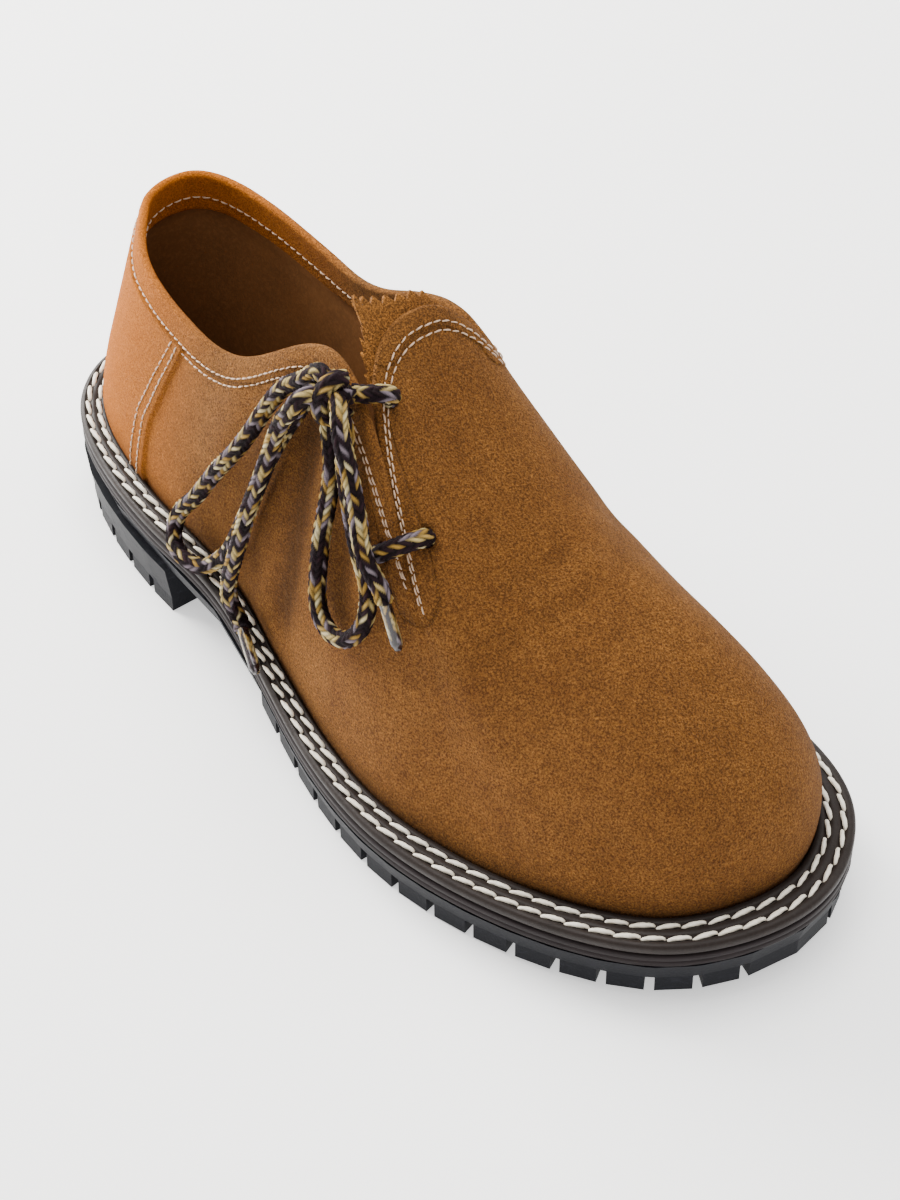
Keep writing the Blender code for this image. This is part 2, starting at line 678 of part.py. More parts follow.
def ring_plate(name, slot, inner, low_z, high_z, step=0.125):
    """A flat ring from the outline in to inner, between two heights."""
    n = int(LAST / step)
    s = np.array([-i * step for i in range(n + 1)] + [(n - i) * step for i in range(1, n)])
    m = len(s)
    verts = []
    for inset, height in ((0 * s, low_z), (0 * s, high_z), (inner(s), high_z), (inner(s), low_z)):
        for q in outline(s, inset):
            verts.append((q[0], q[1], height(q[0])))
    faces = []
    for loop in range(4):
        for i in range(m):
            j = (i + 1) % m
            following = (loop + 1) % 4
            faces.append((loop * m + i, loop * m + j, following * m + j, following * m + i))
    obj = link(name, verts, faces, slot)
    recalc(obj, True)
    return obj


def tube(name, slot, path, diameter, sides=10):
    """A solid round bar along a path, with flat ends."""
    p = np.asarray(path, float)
    d = np.gradient(p, axis=0)
    d /= np.linalg.norm(d, axis=1, keepdims=True)
    x = basis(d[0])[0]
    verts = []
    for q, z in zip(p, d):
        x = x - z * np.dot(x, z)
        x /= np.linalg.norm(x)
        y = np.cross(z, x)
        for i in range(sides):
            a = 2 * math.pi * i / sides
            verts.append(q + (x * math.cos(a) + y * math.sin(a)) * diameter / 2)
    faces = [tuple(range(sides)), tuple(range(len(verts) - 1, len(verts) - sides - 1, -1))]
    for k in range(len(p) - 1):
        for i in range(sides):
            j = (i + 1) % sides
            faces.append((k * sides + i, k * sides + j, (k + 1) * sides + j, (k + 1) * sides + i))
    obj = link(name, verts, faces, slot)
    recalc(obj, True)
    return obj


def through(route, count):
    """Evenly spaced points on a smooth curve through the route."""
    p = np.asarray(route, float)
    run = np.concatenate([[0], np.cumsum(np.linalg.norm(np.diff(p, axis=0), axis=1))])
    fine = natural(p, run, np.linspace(0, run[-1], 600))
    far = np.concatenate([[0], np.cumsum(np.linalg.norm(np.diff(fine, axis=0), axis=1))])
    even = np.linspace(0, far[-1], count)
    return np.stack([np.interp(even, far, fine[:, i]) for i in range(3)], -1)


def shift(obj):
    """Move a piece's own points so that the frame's origin is under the middle of the sole."""
    for v in obj.data.vertices:
        v.co.x -= CENTRE_X
        v.co.y -= CENTRE_Y


def plate_top(x):
    return float(underside(x)) + OUTSOLE_PLATE


def midsole_top(x):
    return plate_top(x) + MIDSOLE_THICKNESS


run_stations, run_x, run_length = outer_run()
forefoot_start = float(np.interp(FOREFOOT_START * LENGTH, run_x, run_length))
forefoot_count = int((run_length[-1] - forefoot_start + 0.35 * LUG_PITCH) / LUG_PITCH)
breast_run = float(np.interp(BREAST * LENGTH, run_x, run_length))
heel_first = breast_run - HEEL_LUGS * LUG_PITCH + NOTCH

outsole_rungs = [(a, False) for a in (0.55, 1.1, 1.8, 2.5, 3.2, 3.9)]
outsole_rungs += lug_marks(forefoot_start, forefoot_count)[:-1]
outsole = tread(
    "outsole", "outsole_rubber", outsole_rungs, lambda x: float(underside(x)), plate_top, (False, True), LUG_DEPTH)

heel_rungs = [(float(np.interp(heel_first - NOTCH, run_length, run_stations)), False)]
heel_rungs += lug_marks(heel_first, HEEL_LUGS)
heel_block = tread(
    "heel_block", "heel_rubber", heel_rungs, lambda x: LUG_DEPTH, lambda x: float(underside(x)) - GAP,
    (True, None), LUG_DEPTH)

midsole = plate(
    "midsole", "midsole_brown", lambda s: 0 * s, lambda s: 0 * s, lambda x: plate_top(x) + GAP, midsole_top)
welt = ring_plate(
    "welt", "welt_leather", lambda s: margin(s) - GAP, lambda x: midsole_top(x) + GAP, lambda x: float(welt_top(x)))
insole = plate(
    "insole", "insole_leather", lambda s: margin(s) + WALL + 2 * GAP, lambda s: margin(s) + WALL + 2 * GAP,
    lambda x: midsole_top(x) + GAP, lambda x: midsole_top(x) + GAP + INSOLE_THICKNESS)

sheet, sheet_faces, sheet_raised = upper_sheet()
upper = sheet_solid("upper", "suede", sheet, sheet_faces, sheet_raised, [WALL] * len(sheet))
tongue_verts, tongue_faces, tongue_depth = tongue_sheet()
tongue = sheet_solid("tongue", "tongue_suede", tongue_verts, tongue_faces, -tongue_depth, tongue_depth + TONGUE_WALL)

solids = [outsole, heel_block, midsole, welt, insole, upper, tongue]
for piece in solids:
    shift(piece)

frames = {}
for hole, kind, where, share in HOLES:
    point, out = hole_frame(kind, where, share)
    frames[hole] = (point - (CENTRE_X, CENTRE_Y, 0.0), out)
    punch = cutter("punch_" + hole.replace(" ", "_"), frames[hole][0], out, HOLE_DIAMETER / 2, 0.006)
    cut = upper.modifiers.new("hole_" + hole.replace(" ", "_"), "BOOLEAN")
    cut.operation = "DIFFERENCE"
    cut.solver = "EXACT"
    cut.object = punch


def rise(hole, other):
    """Centre points of a lace that comes straight out of a hole and turns towards another point."""
    point, out = frames[hole]
    ahead = other - point
    ahead = ahead - out * ahead.dot(out)
    ahead = ahead / np.linalg.norm(ahead)
    turned = [point + out * (BAR_LEG + BAR_BEND * np.sin(a)) + ahead * BAR_BEND * (1 - np.cos(a))
              for a in np.radians((30, 60, 90))]
    return [point - out * BAR_DEPTH, point + out * BAR_LEG] + turned


low_a = rise("quarter low", frames["vamp low"][0])
low_b = rise("vamp low", frames["quarter low"][0])
lace_bar_low = tube("lace_bar_low", "lace_bar_low", through(low_a + low_b[::-1], 17), LACE_DIAMETER)
knot_side = [np.array(q) / 1000 for q in TOP_BAR_END]
top_route = rise("vamp top", knot_side[0]) + knot_side
lace_bar_top = tube("lace_bar_top", "lace_bar_top", through(top_route, 15), LACE_DIAMETER)


def cord(name, route, diameter, count):
    """A round cord as a curve with a filled cap at each end, through evenly spaced points of its smooth route."""
    curve = bpy.data.curves.new(name, "CURVE")
    curve.dimensions = "3D"
    curve.bevel_depth = diameter / 2
    curve.bevel_resolution = 2
    curve.use_fill_caps = True
    spots = np.array(route) / 1000
    points = [spots[0]] + list(through(spots[1:-1], count)) + [spots[-1]] if len(spots) > 3 else list(spots)
    line = curve.splines.new("POLY")
    line.points.add(len(points) - 1)
    for spot, q in zip(line.points, points):
        spot.co = (q[0], q[1], q[2], 1)
    obj = bpy.data.objects.new(name, curve)
    bpy.context.scene.collection.objects.link(obj)
    color, rough = SLOTS[name]
    mat = bpy.data.materials.new(name)
    mat.use_nodes = True
    shader = mat.node_tree.nodes["Principled BSDF"]
    shader.inputs["Base Color"].default_value = color
    shader.inputs["Roughness"].default_value = rough
    curve.materials.append(mat)
    return obj


lace_knot = cord("lace_knot", KNOT_ROUTE, KNOT_DIAMETER, 3)
lace_loop_back = cord("lace_loop_back", LOOP_BACK_ROUTE, LACE_DIAMETER, 25)
lace_end_back = cord("lace_end_back", END_BACK_ROUTE, LACE_DIAMETER, 14)
lace_loop_front = cord("lace_loop_front", LOOP_FRONT_ROUTE, LACE_DIAMETER, 20)
lace_end_front = cord("lace_end_front", END_FRONT_ROUTE, LACE_DIAMETER, 8)
aglet_back = cord("aglet_back", AGLET_BACK, AGLET_DIAMETER, 2)
aglet_front = cord("aglet_front", AGLET_FRONT, AGLET_DIAMETER, 2)
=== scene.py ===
"""Suede folk shoe with side lacing, dressed piece by piece on its CAD frame."""
import math

import bmesh
import bpy
import numpy as np
from bpy.props import FloatProperty, FloatVectorProperty, IntProperty, PointerProperty
from mathutils import Matrix, Vector, noise


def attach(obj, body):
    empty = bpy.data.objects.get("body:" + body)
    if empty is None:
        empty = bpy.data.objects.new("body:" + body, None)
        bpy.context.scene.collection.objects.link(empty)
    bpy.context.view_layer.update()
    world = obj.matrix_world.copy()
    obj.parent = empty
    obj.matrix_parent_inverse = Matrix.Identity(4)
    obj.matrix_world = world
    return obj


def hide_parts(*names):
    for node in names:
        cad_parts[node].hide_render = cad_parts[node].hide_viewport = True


bl_info = {
    "name": "Side-laced suede shoe",
    "version": (1, 0, 0),
    "blender": (4, 5, 0),
    "location": "3D View > Sidebar > Shoe",
    "description": "Builds a welted suede shoe with a braided lace on its CAD frame",
    "category": "Object",
}

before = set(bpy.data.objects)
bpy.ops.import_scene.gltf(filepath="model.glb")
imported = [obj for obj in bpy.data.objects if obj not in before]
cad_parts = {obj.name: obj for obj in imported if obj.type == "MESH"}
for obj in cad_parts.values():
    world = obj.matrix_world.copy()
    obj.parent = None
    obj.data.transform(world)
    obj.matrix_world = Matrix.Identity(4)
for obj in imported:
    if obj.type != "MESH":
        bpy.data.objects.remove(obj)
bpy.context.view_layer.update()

# driving sizes, metres
LENGTH = 0.302
WIDTH = 0.1186
HEEL_HEIGHT = 0.018
LUG_DEPTH = 0.0055
TOE_SPRING = 0.005
OUTSOLE_PLATE = 0.006
MIDSOLE_THICKNESS = 0.005
WELT_THICKNESS = 0.0035
THROAT_HEIGHT = 0.136
# walls and clearances
WALL = 0.0022
COUNTER_STEP = 0.0011
TONGUE_GAP = 0.0006
TONGUE_WALL = 0.0018
TONGUE_TUCK = 0.0045
FOOT_GAP = 0.0003
# lace
HOLE_DIAMETER = 0.0056
HOLE_SIDES = 28
PUNCH_REACH = 0.006
AGLET_DIAMETER = 0.0034
# middle of the sole's outline, taken off every point at the end
CENTRE_X = 0.151

# sole outline: x share, outer side's y share, inner side's y share
OUTLINE = (
    ("heel back", 0.000, -0.018, -0.018),
    ("heel curve", 0.027, -0.187, 0.150),
    ("heel", 0.110, -0.313, 0.269),
    ("heel front", 0.252, -0.369, 0.298),
    ("waist", 0.370, -0.371, 0.298),
    ("ball back", 0.510, -0.444, 0.357),
    ("ball", 0.662, -0.500, 0.471),
    ("toe side", 0.805, -0.433, 0.498),
    ("toe curve", 0.910, -0.307, 0.446),
    ("toe corner", 0.9735, -0.141, 0.3065),
    ("toe tip", 1.000, 0.100, 0.100),
)

# how far the upper stands inside the outline: station, metres
MARGIN = ((0.0, 0.0085), (3.0, 0.0085), (4.5, 0.0065), (6.5, 0.0098), (10.0, 0.0113))

# vamp rows: outer and inner station, ridge x, y and z shares, how far the row leans to its foot,
# outer side: height of the lower handle, bulge, reach of the upper handle, then the same for the inner side
VAMP = (
    ("throat", 6.70, 5.80, 0.493, 0.030, 0.993, 0.00, 0.30, 0.05, 0.70, -0.02, 0.01, 0.73),
    ("instep", 7.30, 7.00, 0.610, 0.036, 0.770, 0.10, 0.36, 0.05, 0.66, 0.18, 0.06, 0.56),
    ("ball", 8.00, 8.00, 0.720, 0.060, 0.678, 0.40, 0.46, 0.05, 0.60, 0.42, 0.11, 0.54),
    ("toe", 8.80, 8.80, 0.800, 0.078, 0.608, 0.80, 0.55, 0.06, 0.58, 0.57, 0.13, 0.55),
    ("toe corner", 9.50, 9.50, 0.835, 0.088, 0.568, 1.00, 0.59, 0.07, 0.58, 0.63, 0.12, 0.57),
    ("toe tip", 10.0, 10.0, 0.845, 0.092, 0.556, 1.00, 0.61, 0.08, 0.58, 0.61, 0.08, 0.58),
)
# handles of the throat row, metres from its foot and from its ridge: x, y, z
THROAT_FOOT = ("outer", -0.026, 0.013, 0.072)
THROAT_RIDGE = ("outer", -0.004, -0.034, 0.002)
SLIT_SHARE = 0.345
CORNER_SHARE = 0.76

# quarter rows: station, collar x, y and z shares, lower handle's lean out and rise, upper handle's lean out and drop
QUARTER = (
    ("outer front", -5.0, 0.457, -0.178, 0.934, 0.012, 0.30, 0.060, 0.26),
    ("outer waist", -4.0, 0.344, -0.208, 0.763, 0.014, 0.32, 0.070, 0.32),
    ("outer ankle", -3.0, 0.232, -0.187, 0.697, 0.012, 0.34, 0.050, 0.32),
    ("outer heel", -2.0, 0.133, -0.136, 0.701, 0.000, 0.34, 0.044, 0.32),
    ("outer back", -1.0, 0.085, -0.060, 0.723, -0.010, 0.34, 0.040, 0.32),
    ("back", 0.0, 0.064, -0.010, 0.730, -0.005, 0.34, 0.042, 0.32),
    ("inner back", 1.0, 0.056, 0.083, 0.741, 0.000, 0.34, 0.040, 0.32),
    ("inner heel", 2.0, 0.086, 0.201, 0.734, 0.008, 0.34, 0.030, 0.32),
    ("inner ankle", 3.0, 0.205, 0.247, 0.712, 0.012, 0.34, 0.020, 0.32),
    ("inner waist", 4.0, 0.325, 0.226, 0.741, 0.012, 0.32, 0.030, 0.32),
    ("inner front", 5.0, 0.444, 0.205, 0.876, 0.010, 0.30, 0.040, 0.26),
)
COUNTER_SEAM = 2.85
COUNTER_LEAN = ((0.0, -0.275), (0.15, -0.23), (0.40, -0.15), (0.65, 0.05), (0.875, 0.25), (1.0, 0.35))

# where its free edge stands behind the throat row: share across, rows
TONGUE_TOP = (
    (0.0, 0.05), (0.20, -0.22), (0.34, -0.30), (0.42, -0.22), (0.50, -0.25), (0.56, -0.20), (0.68, -0.125),
    (0.77, -0.10), (1.0, 0.15))
TONGUE_FRONT = 0.9

# eyelet holes: part, row or station, share up the section
HOLES = (
    ("vamp top", "vamp", 0.12, 0.750),
    ("vamp low", "vamp", 0.40, 0.575),
    ("quarter top", "quarter", -5.20, 0.870),
    ("quarter low", "quarter", -6.10, 0.780),
)
# a bar's end reaches this far under the outer face, rises straight this far over it and turns with this radius
BAR_DEPTH = 0.0024
BAR_LEG = 0.0012
BAR_BEND = 0.0032

# lace routes in the finished frame, millimetres: x, y, z from the knot on
KNOT_ROUTE = (
    (3.6, -28.8, 131.6), (3.0, -29.5, 126.2), (2.4, -30.2, 120.9))
LOOP_BACK_ROUTE = (
    (-0.51, -28.86, 129.39), (-3.54, -28.63, 129.70), (-9.40, -28.70, 124.60), (-13.60, -28.80, 120.60),
    (-19.90, -28.90, 114.70), (-28.30, -31.20, 101.10), (-35.70, -34.60, 86.00), (-46.30, -37.40, 69.50),
    (-57.40, -39.40, 51.80), (-63.30, -41.40, 41.00), (-60.80, -44.20, 36.00), (-54.60, -45.20, 35.00),
    (-47.80, -43.80, 35.40), (-42.40, -41.20, 40.20), (-33.40, -40.80, 54.20), (-28.50, -39.50, 66.70),
    (-24.20, -36.90, 81.30), (-19.30, -32.90, 97.40), (-13.40, -30.40, 110.00), (-9.20, -29.80, 118.00),
    (-4.20, -29.80, 123.96), (-1.17, -29.84, 123.62))
END_BACK_ROUTE = (
    (0.89, -32.70, 126.65), (-0.76, -35.22, 127.16), (-4.90, -37.60, 120.80), (-8.90, -37.40, 115.30),
    (-13.90, -37.90, 104.10), (-17.40, -40.00, 91.00), (-20.60, -43.00, 77.80), (-23.40, -45.40, 64.30),
    (-27.40, -45.90, 52.00), (-30.60, -45.60, 42.00), (-30.40, -45.60, 35.60), (-26.52, -45.25, 30.33),
    (-23.97, -46.26, 29.78))
LOOP_FRONT_ROUTE = (
    (2.36, -30.25, 120.55), (2.05, -30.61, 117.75), (5.30, -32.60, 108.60), (7.00, -35.20, 98.30),
    (7.90, -38.90, 85.50), (10.20, -42.60, 72.70), (14.20, -45.20, 65.10), (22.30, -46.40, 63.00),
    (29.60, -45.20, 67.60), (32.10, -42.40, 76.60), (30.20, -40.50, 84.60), (25.20, -38.90, 90.20),
    (19.40, -36.80, 97.70), (13.80, -34.30, 106.80), (11.80, -33.20, 112.60), (11.20, -32.20, 117.40),
    (9.36, -31.36, 122.43), (6.39, -30.72, 122.68))
END_FRONT_ROUTE = (
    (6.69, -30.97, 128.86), (9.37, -32.43, 128.75), (14.00, -35.80, 125.40), (18.40, -37.20, 119.20),
    (22.40, -38.40, 111.60), (27.60, -40.60, 104.20), (32.60, -42.60, 97.00), (38.81, -42.09, 89.41),
    (39.76, -42.01, 86.78))
TOP_BAR_END = (
    (7.88, -24.79, 127.92), (6.06, -26.52, 128.35))
# the strand that wraps the knot, millimetres from its middle: up its axis, outwards, across
KNOT_WRAP = (
    (-5.2, -2.6, 0.6), (-6.6, -0.8, 0.4), (-6.4, 1.5, 0.1), (-4.2, 3.1, -0.2), (-1.2, 3.7, -0.4), (2.2, 3.6, -0.3),
    (5.0, 2.5, 0.1), (6.4, 0.5, 0.5), (6.0, -1.8, 0.9))
# aglets: from, to
AGLET_BACK = (
    (-23.6, -46.4, 29.7), (-9.6, -51.9, 26.7))
AGLET_FRONT = (
    (39.9, -42.0, 86.4), (44.9, -41.6, 72.6))

# stitch rows on the welt, as shares of its free width, and the channel they lie in: across, depth
WELT_ROWS = (0.31, 0.70)
STITCH_CHANNEL = (
    (-0.00125, 0.0), (-0.0009, 0.00025), (-0.00045, 0.00075), (0.0, 0.0009), (0.00045, 0.00075), (0.0009, 0.00025),
    (0.00125, 0.0))
# soft folds of the upper: points in millimetres from the heel's back, half width and depth, a negative one a ridge
FOLDS = (
    (((138.5, -24.0, 116.0), (140.4, -27.4, 105.5), (141.9, -34.0, 83.1), (142.0, -40.1, 56.8),
      (140.0, -41.0, 42.0)), 6.5, 1.7),
    (((150.0, -27.0, 110.0), (153.5, -33.0, 90.0), (155.5, -38.5, 68.0)), 6.0, -0.8),
    (((159.0, -29.0, 106.0), (163.0, -34.5, 90.0), (168.7, -40.8, 69.3)), 5.5, 1.3),
    (((118.0, -28.0, 98.0), (116.0, -34.0, 78.0), (114.0, -37.0, 58.0)), 8.0, 0.8),
    (((104.2, -27.0, 95.0), (104.2, -30.3, 85.0), (100.0, -34.0, 66.0)), 7.0, -0.5),
    (((219.0, 6.0, 91.0), (219.5, -4.0, 89.5), (217.0, -14.0, 85.0)), 4.5, -0.95),
    (((224.0, 0.0, 88.0), (223.5, -8.0, 85.5), (219.0, -19.0, 79.5)), 6.0, 0.6),
    (((211.0, 2.0, 93.5), (209.0, -8.0, 91.0), (206.0, -16.0, 86.0)), 6.5, 0.7),
    (((203.0, -2.0, 96.0), (200.0, -14.0, 92.0)), 5.0, -0.5),
    (((232.0, -4.0, 84.0), (229.0, -16.0, 78.0), (224.0, -27.0, 70.0)), 6.0, -0.5),
    (((213.0, -29.0, 76.0), (207.0, -34.0, 70.0), (200.0, -40.0, 60.0)), 8.0, 0.7),
    (((214.0, 22.0, 88.0), (220.0, 14.0, 88.0)), 6.0, 0.7),
    (((196.0, 33.0, 78.0), (203.0, 28.0, 84.0)), 7.0, 0.6),
    (((150.0, 34.0, 92.0), (153.0, 41.0, 70.0)), 8.0, 0.9),
)
# topline: width of the turned edge and depth of the facing inside, millimetres
BAND = 6.6
FACING = 13.0
COLLAR_ROWS = (6.0, 8.6)
THROAT_ROWS = (4.0, 6.6)
# how much narrower the turned edge is at the throat and along the slit, metres, and where these parts of the line start
THROAT_LESS = 0.0016
SLIT_LESS = 0.009
TOPLINE = (260, 330)


def natural(points, at, where):
    """Natural cubic spline through points, carried on straight past both ends."""
    p = np.asarray(points, float)
    k = np.asarray(at, float)
    w = np.asarray(where, float)
    n = len(p)
    h = np.diff(k)
    a = np.eye(n)
    rhs = np.zeros_like(p)
    for i in range(1, n - 1):
        a[i, i - 1] = h[i - 1]
        a[i, i] = 2 * (h[i - 1] + h[i])
        a[i, i + 1] = h[i]
        rhs[i] = 6 * ((p[i + 1] - p[i]) / h[i] - (p[i] - p[i - 1]) / h[i - 1])
    m = np.linalg.solve(a, rhs.reshape(n, -1)).reshape(p.shape)
    inside = np.clip(w, k[0], k[-1])
    i = np.clip(np.searchsorted(k, inside, side="right") - 1, 0, n - 2)
    shape = w.shape + (1,) * (p.ndim - 1)
    step = h[i].reshape(shape)
    left = ((k[i + 1] - inside) / h[i]).reshape(shape)
    right = ((inside - k[i]) / h[i]).reshape(shape)
    curve = left * p[i] + right * p[i + 1]
    curve = curve + ((left ** 3 - left) * m[i] + (right ** 3 - right) * m[i + 1]) * step ** 2 / 6
    slope = (p[i + 1] - p[i]) / step
    slope = slope + ((3 * right ** 2 - 1) * m[i + 1] - (3 * left ** 2 - 1) * m[i]) * step / 6
    return curve + slope * (w - inside).reshape(shape)


def outline(station, inset=0.0):
    """Point on the sole outline: 0 heel back, 10 toe tip, negative on the outer side, moved in by inset."""
    outer = [(x, y) for _, x, y, _ in OUTLINE]
    inner = [(x, y) for _, x, _, y in OUTLINE[-2:0:-1]]
    ring = np.array(outer + inner) * (LENGTH, WIDTH)
    n = len(ring)
    looped = np.vstack([ring[-4:], ring, ring[:4]])
    at = np.arange(-4, n + 4)
    s = np.asarray(station, float)
    q = np.where(s <= 0, -s, n - s)
    e = 0.001
    along = natural(looped, at, q + e) - natural(looped, at, q - e)
    along /= np.linalg.norm(along, axis=-1, keepdims=True)
    inward = np.stack([-along[..., 1], along[..., 0]], -1)
    return natural(looped, at, q) + inward * np.asarray(inset)[..., None]


def run_of(points):
    """Distance from a line's first point to each of its points."""
    return np.concatenate([[0], np.cumsum(np.linalg.norm(np.diff(points, axis=0), axis=1))])


def ease(low, high, x):
    t = np.clip((x - low) / (high - low), 0, 1)
    return t * t * (3 - 2 * t)


def underside(x):
    """Height of the outsole plate's underside: level at the heel and at the ball, rising to the toe."""
    s = x / LENGTH
    z = HEEL_HEIGHT + (LUG_DEPTH - HEEL_HEIGHT) * ease(0.27, 0.56, s)
    return z + TOE_SPRING * np.clip((s - 0.66) / 0.34, 0, None) ** 1.8


def welt_top(x):
    return underside(x) + OUTSOLE_PLATE + MIDSOLE_THICKNESS + WELT_THICKNESS


def margin(station):
    return np.interp(np.abs(station), [a for a, _ in MARGIN], [b for _, b in MARGIN])


def feather(station):
    """The line where the upper meets the welt."""
    s = np.asarray(station, float)
    p = outline(s, margin(s))
    return np.concatenate([p, welt_top(p[..., 0])[..., None]], -1)


def bezier(c, t):
    t = np.asarray(t, float)[..., None]
    u = 1 - t
    return u ** 3 * c[..., 0, :] + 3 * u * u * t * c[..., 1, :] + 3 * u * t * t * c[..., 2, :] + t ** 3 * c[..., 3, :]


def first_part(c, share):
    """Handles of the first part of a cubic."""
    a = c[0] + (c[1] - c[0]) * share
    b = c[1] + (c[2] - c[1]) * share
    d = c[2] + (c[3] - c[2]) * share
    e = a + (b - a) * share
    f = b + (d - b) * share
    return np.array([c[0], a, e, e + (f - e) * share])


def vamp_handles(side, row):
    """Handles of the vamp's sections at row 0 (throat) to 5 (toe tip); side -1 outer, 1 inner."""
    knots = np.arange(len(VAMP))
    row = np.asarray(row, float)
    ridges = np.array([(r[3] * LENGTH, r[4] * WIDTH, r[5] * THROAT_HEIGHT) for r in VAMP])
    foot = feather(side * natural([r[1] if side < 0 else r[2] for r in VAMP], knots, knots))
    shape = np.array([(r[6],) + (r[7:10] if side < 0 else r[10:13]) for r in VAMP])
    fall = np.gradient(ridges[:, 2]) / np.gradient(ridges[:, 0])
    to_foot = foot - ridges
    rise = ridges[:, 2] - foot[:, 2]
    lean, low, bulge, reach = shape.T
    lower = foot.copy()
    lower[:, 0] += bulge * to_foot[:, 0]
    lower[:, 1] += bulge * to_foot[:, 1]
    lower[:, 2] += low * rise
    upper = ridges.copy()
    upper[:, 0] += reach * lean * to_foot[:, 0]
    upper[:, 1] += reach * to_foot[:, 1]
    upper[:, 2] += fall * reach * lean * to_foot[:, 0]
    if side < 0:
        lower[0] = foot[0] + THROAT_FOOT[1:]
        upper[0] = ridges[0] + THROAT_RIDGE[1:]
    offsets = np.stack([lower - foot, upper - foot, ridges - foot], 1)
    here = feather(side * natural([r[1] if side < 0 else r[2] for r in VAMP], knots, row))
    d = natural(offsets, knots, row)
    ridge = natural(ridges, knots, row)
    return np.stack([here, here + d[:, 0], ridge + (d[:, 1] - d[:, 2]), ridge], 1)


def vamp(side, row, t):
    return bezier(vamp_handles(side, np.atleast_1d(row)), np.atleast_1d(t))


def quarter_handles(station):
    """Handles of the quarters' and counter's sections, from the outer throat row round the heel to the inner one."""
    rows = []
    at = []
    outer = first_part(vamp_handles(-1, [0.0])[0], SLIT_SHARE)
    inner = first_part(vamp_handles(1, [0.0])[0], CORNER_SHARE)
    rows.append(outer - outer[0])
    at.append(-VAMP[0][1])
    for _, s, x, y, z, low_out, low_up, top_out, top_drop in QUARTER:
        foot = feather(np.array([s]))[0]
        out = (outline(np.array([s])) - outline(np.array([s]), 0.001))[0] / 0.001
        top = np.array([x * LENGTH, y * WIDTH, z * THROAT_HEIGHT])
        rise = top[2] - foot[2]
        lower = foot + (out[0] * low_out * WIDTH, out[1] * low_out * WIDTH, low_up * rise)
        upper = top + (out[0] * top_out * WIDTH, out[1] * top_out * WIDTH, -top_drop * rise)
        rows.append(np.array([foot, lower, upper, top]) - foot)
        at.append(s)
    rows.append(inner - inner[0])
    at.append(VAMP[0][2])
    s = np.atleast_1d(np.asarray(station, float))
    return feather(s)[:, None, :] + natural(np.array(rows), at, s)


def quarter(station, t):
    return bezier(quarter_handles(station), np.atleast_1d(t))


def leaned(station, share):
    """Station of a quarter mesh column at a height: the columns lean along with the counter's front edge."""
    table = np.array(COUNTER_LEAN)
    near = max(0.0, 1.0 - abs(abs(station) - COUNTER_SEAM) / 1.2)
    return station + math.copysign(1.0, station) * near * np.interp(share, table[:, 0], table[:, 1])


def placed(points):
    """From heel-back coordinates to the frame's."""
    return np.asarray(points, float) - (CENTRE_X, 0.0, 0.0)


def srgb(code):
    """An sRGB hex colour as linear red, green and blue."""
    parts = [int(code[i:i + 2], 16) / 255 for i in (1, 3, 5)]
    return [((v + 0.055) / 1.055) ** 2.4 if v > 0.04045 else v / 12.92 for v in parts]


def add(tree, kind, inputs=None, **settings):
    """Adds a node with its own settings; inputs gives sockets a value or another node's output."""
    node = tree.nodes.new(kind)
    for key, value in settings.items():
        setattr(node, key, value)
    for key, value in (inputs or {}).items():
        socket = node.inputs[key]
        if isinstance(value, bpy.types.NodeSocket):
            tree.links.new(value, socket)
        else:
            socket.default_value = value
    return node


def start(name, rough, **fixed):
    """A new material with its shader's constant values set on the shader."""
    made = bpy.data.materials.new(name)
    made.use_nodes = True
    shader = made.node_tree.nodes["Principled BSDF"]
    shader.inputs["Roughness"].default_value = rough
    for key, value in fixed.items():
        shader.inputs[key.replace("_", " ")].default_value = value
    return made, made.node_tree, shader


def place_of(tree, size=1.0):
    """Object coordinates in metres, stretched per axis where size is three numbers."""
    where = add(tree, "ShaderNodeTexCoord").outputs["Object"]
    if size == 1.0:
        return where
    return add(tree, "ShaderNodeMapping", {"Vector": where, "Scale": size}).outputs[0]


def grain(tree, where, mm, detail=3.0, rough=0.55, twist=0.0):
    """Noise with features of about that many millimetres."""
    return add(tree, "ShaderNodeTexNoise", {"Vector": where, "Scale": 1000 / mm, "Detail": detail,
                                            "Roughness": rough, "Distortion": twist}).outputs[0]


def between(tree, value, low, high, to_low=0.0, to_high=1.0):
    return add(tree, "ShaderNodeMapRange", {0: value, 1: low, 2: high, 3: to_low, 4: to_high}).outputs[0]


def blend(tree, share, first, second, mode="MIX"):
    ins = {0: share, 6: first, 7: second}
    return add(tree, "ShaderNodeMix", ins, data_type="RGBA", blend_type=mode).outputs[2]


def times(tree, a, b, kind="MULTIPLY"):
    return add(tree, "ShaderNodeMath", {0: a, 1: b}, operation=kind).outputs[0]


def bumped(tree, shader, height, strength, depth, under=None):
    ins = {"Height": height, "Strength": strength, "Distance": depth}
    if under is not None:
        ins["Normal"] = under
    made = add(tree, "ShaderNodeBump", ins).outputs[0]
    tree.links.new(made, shader.inputs["Normal"])
    return made


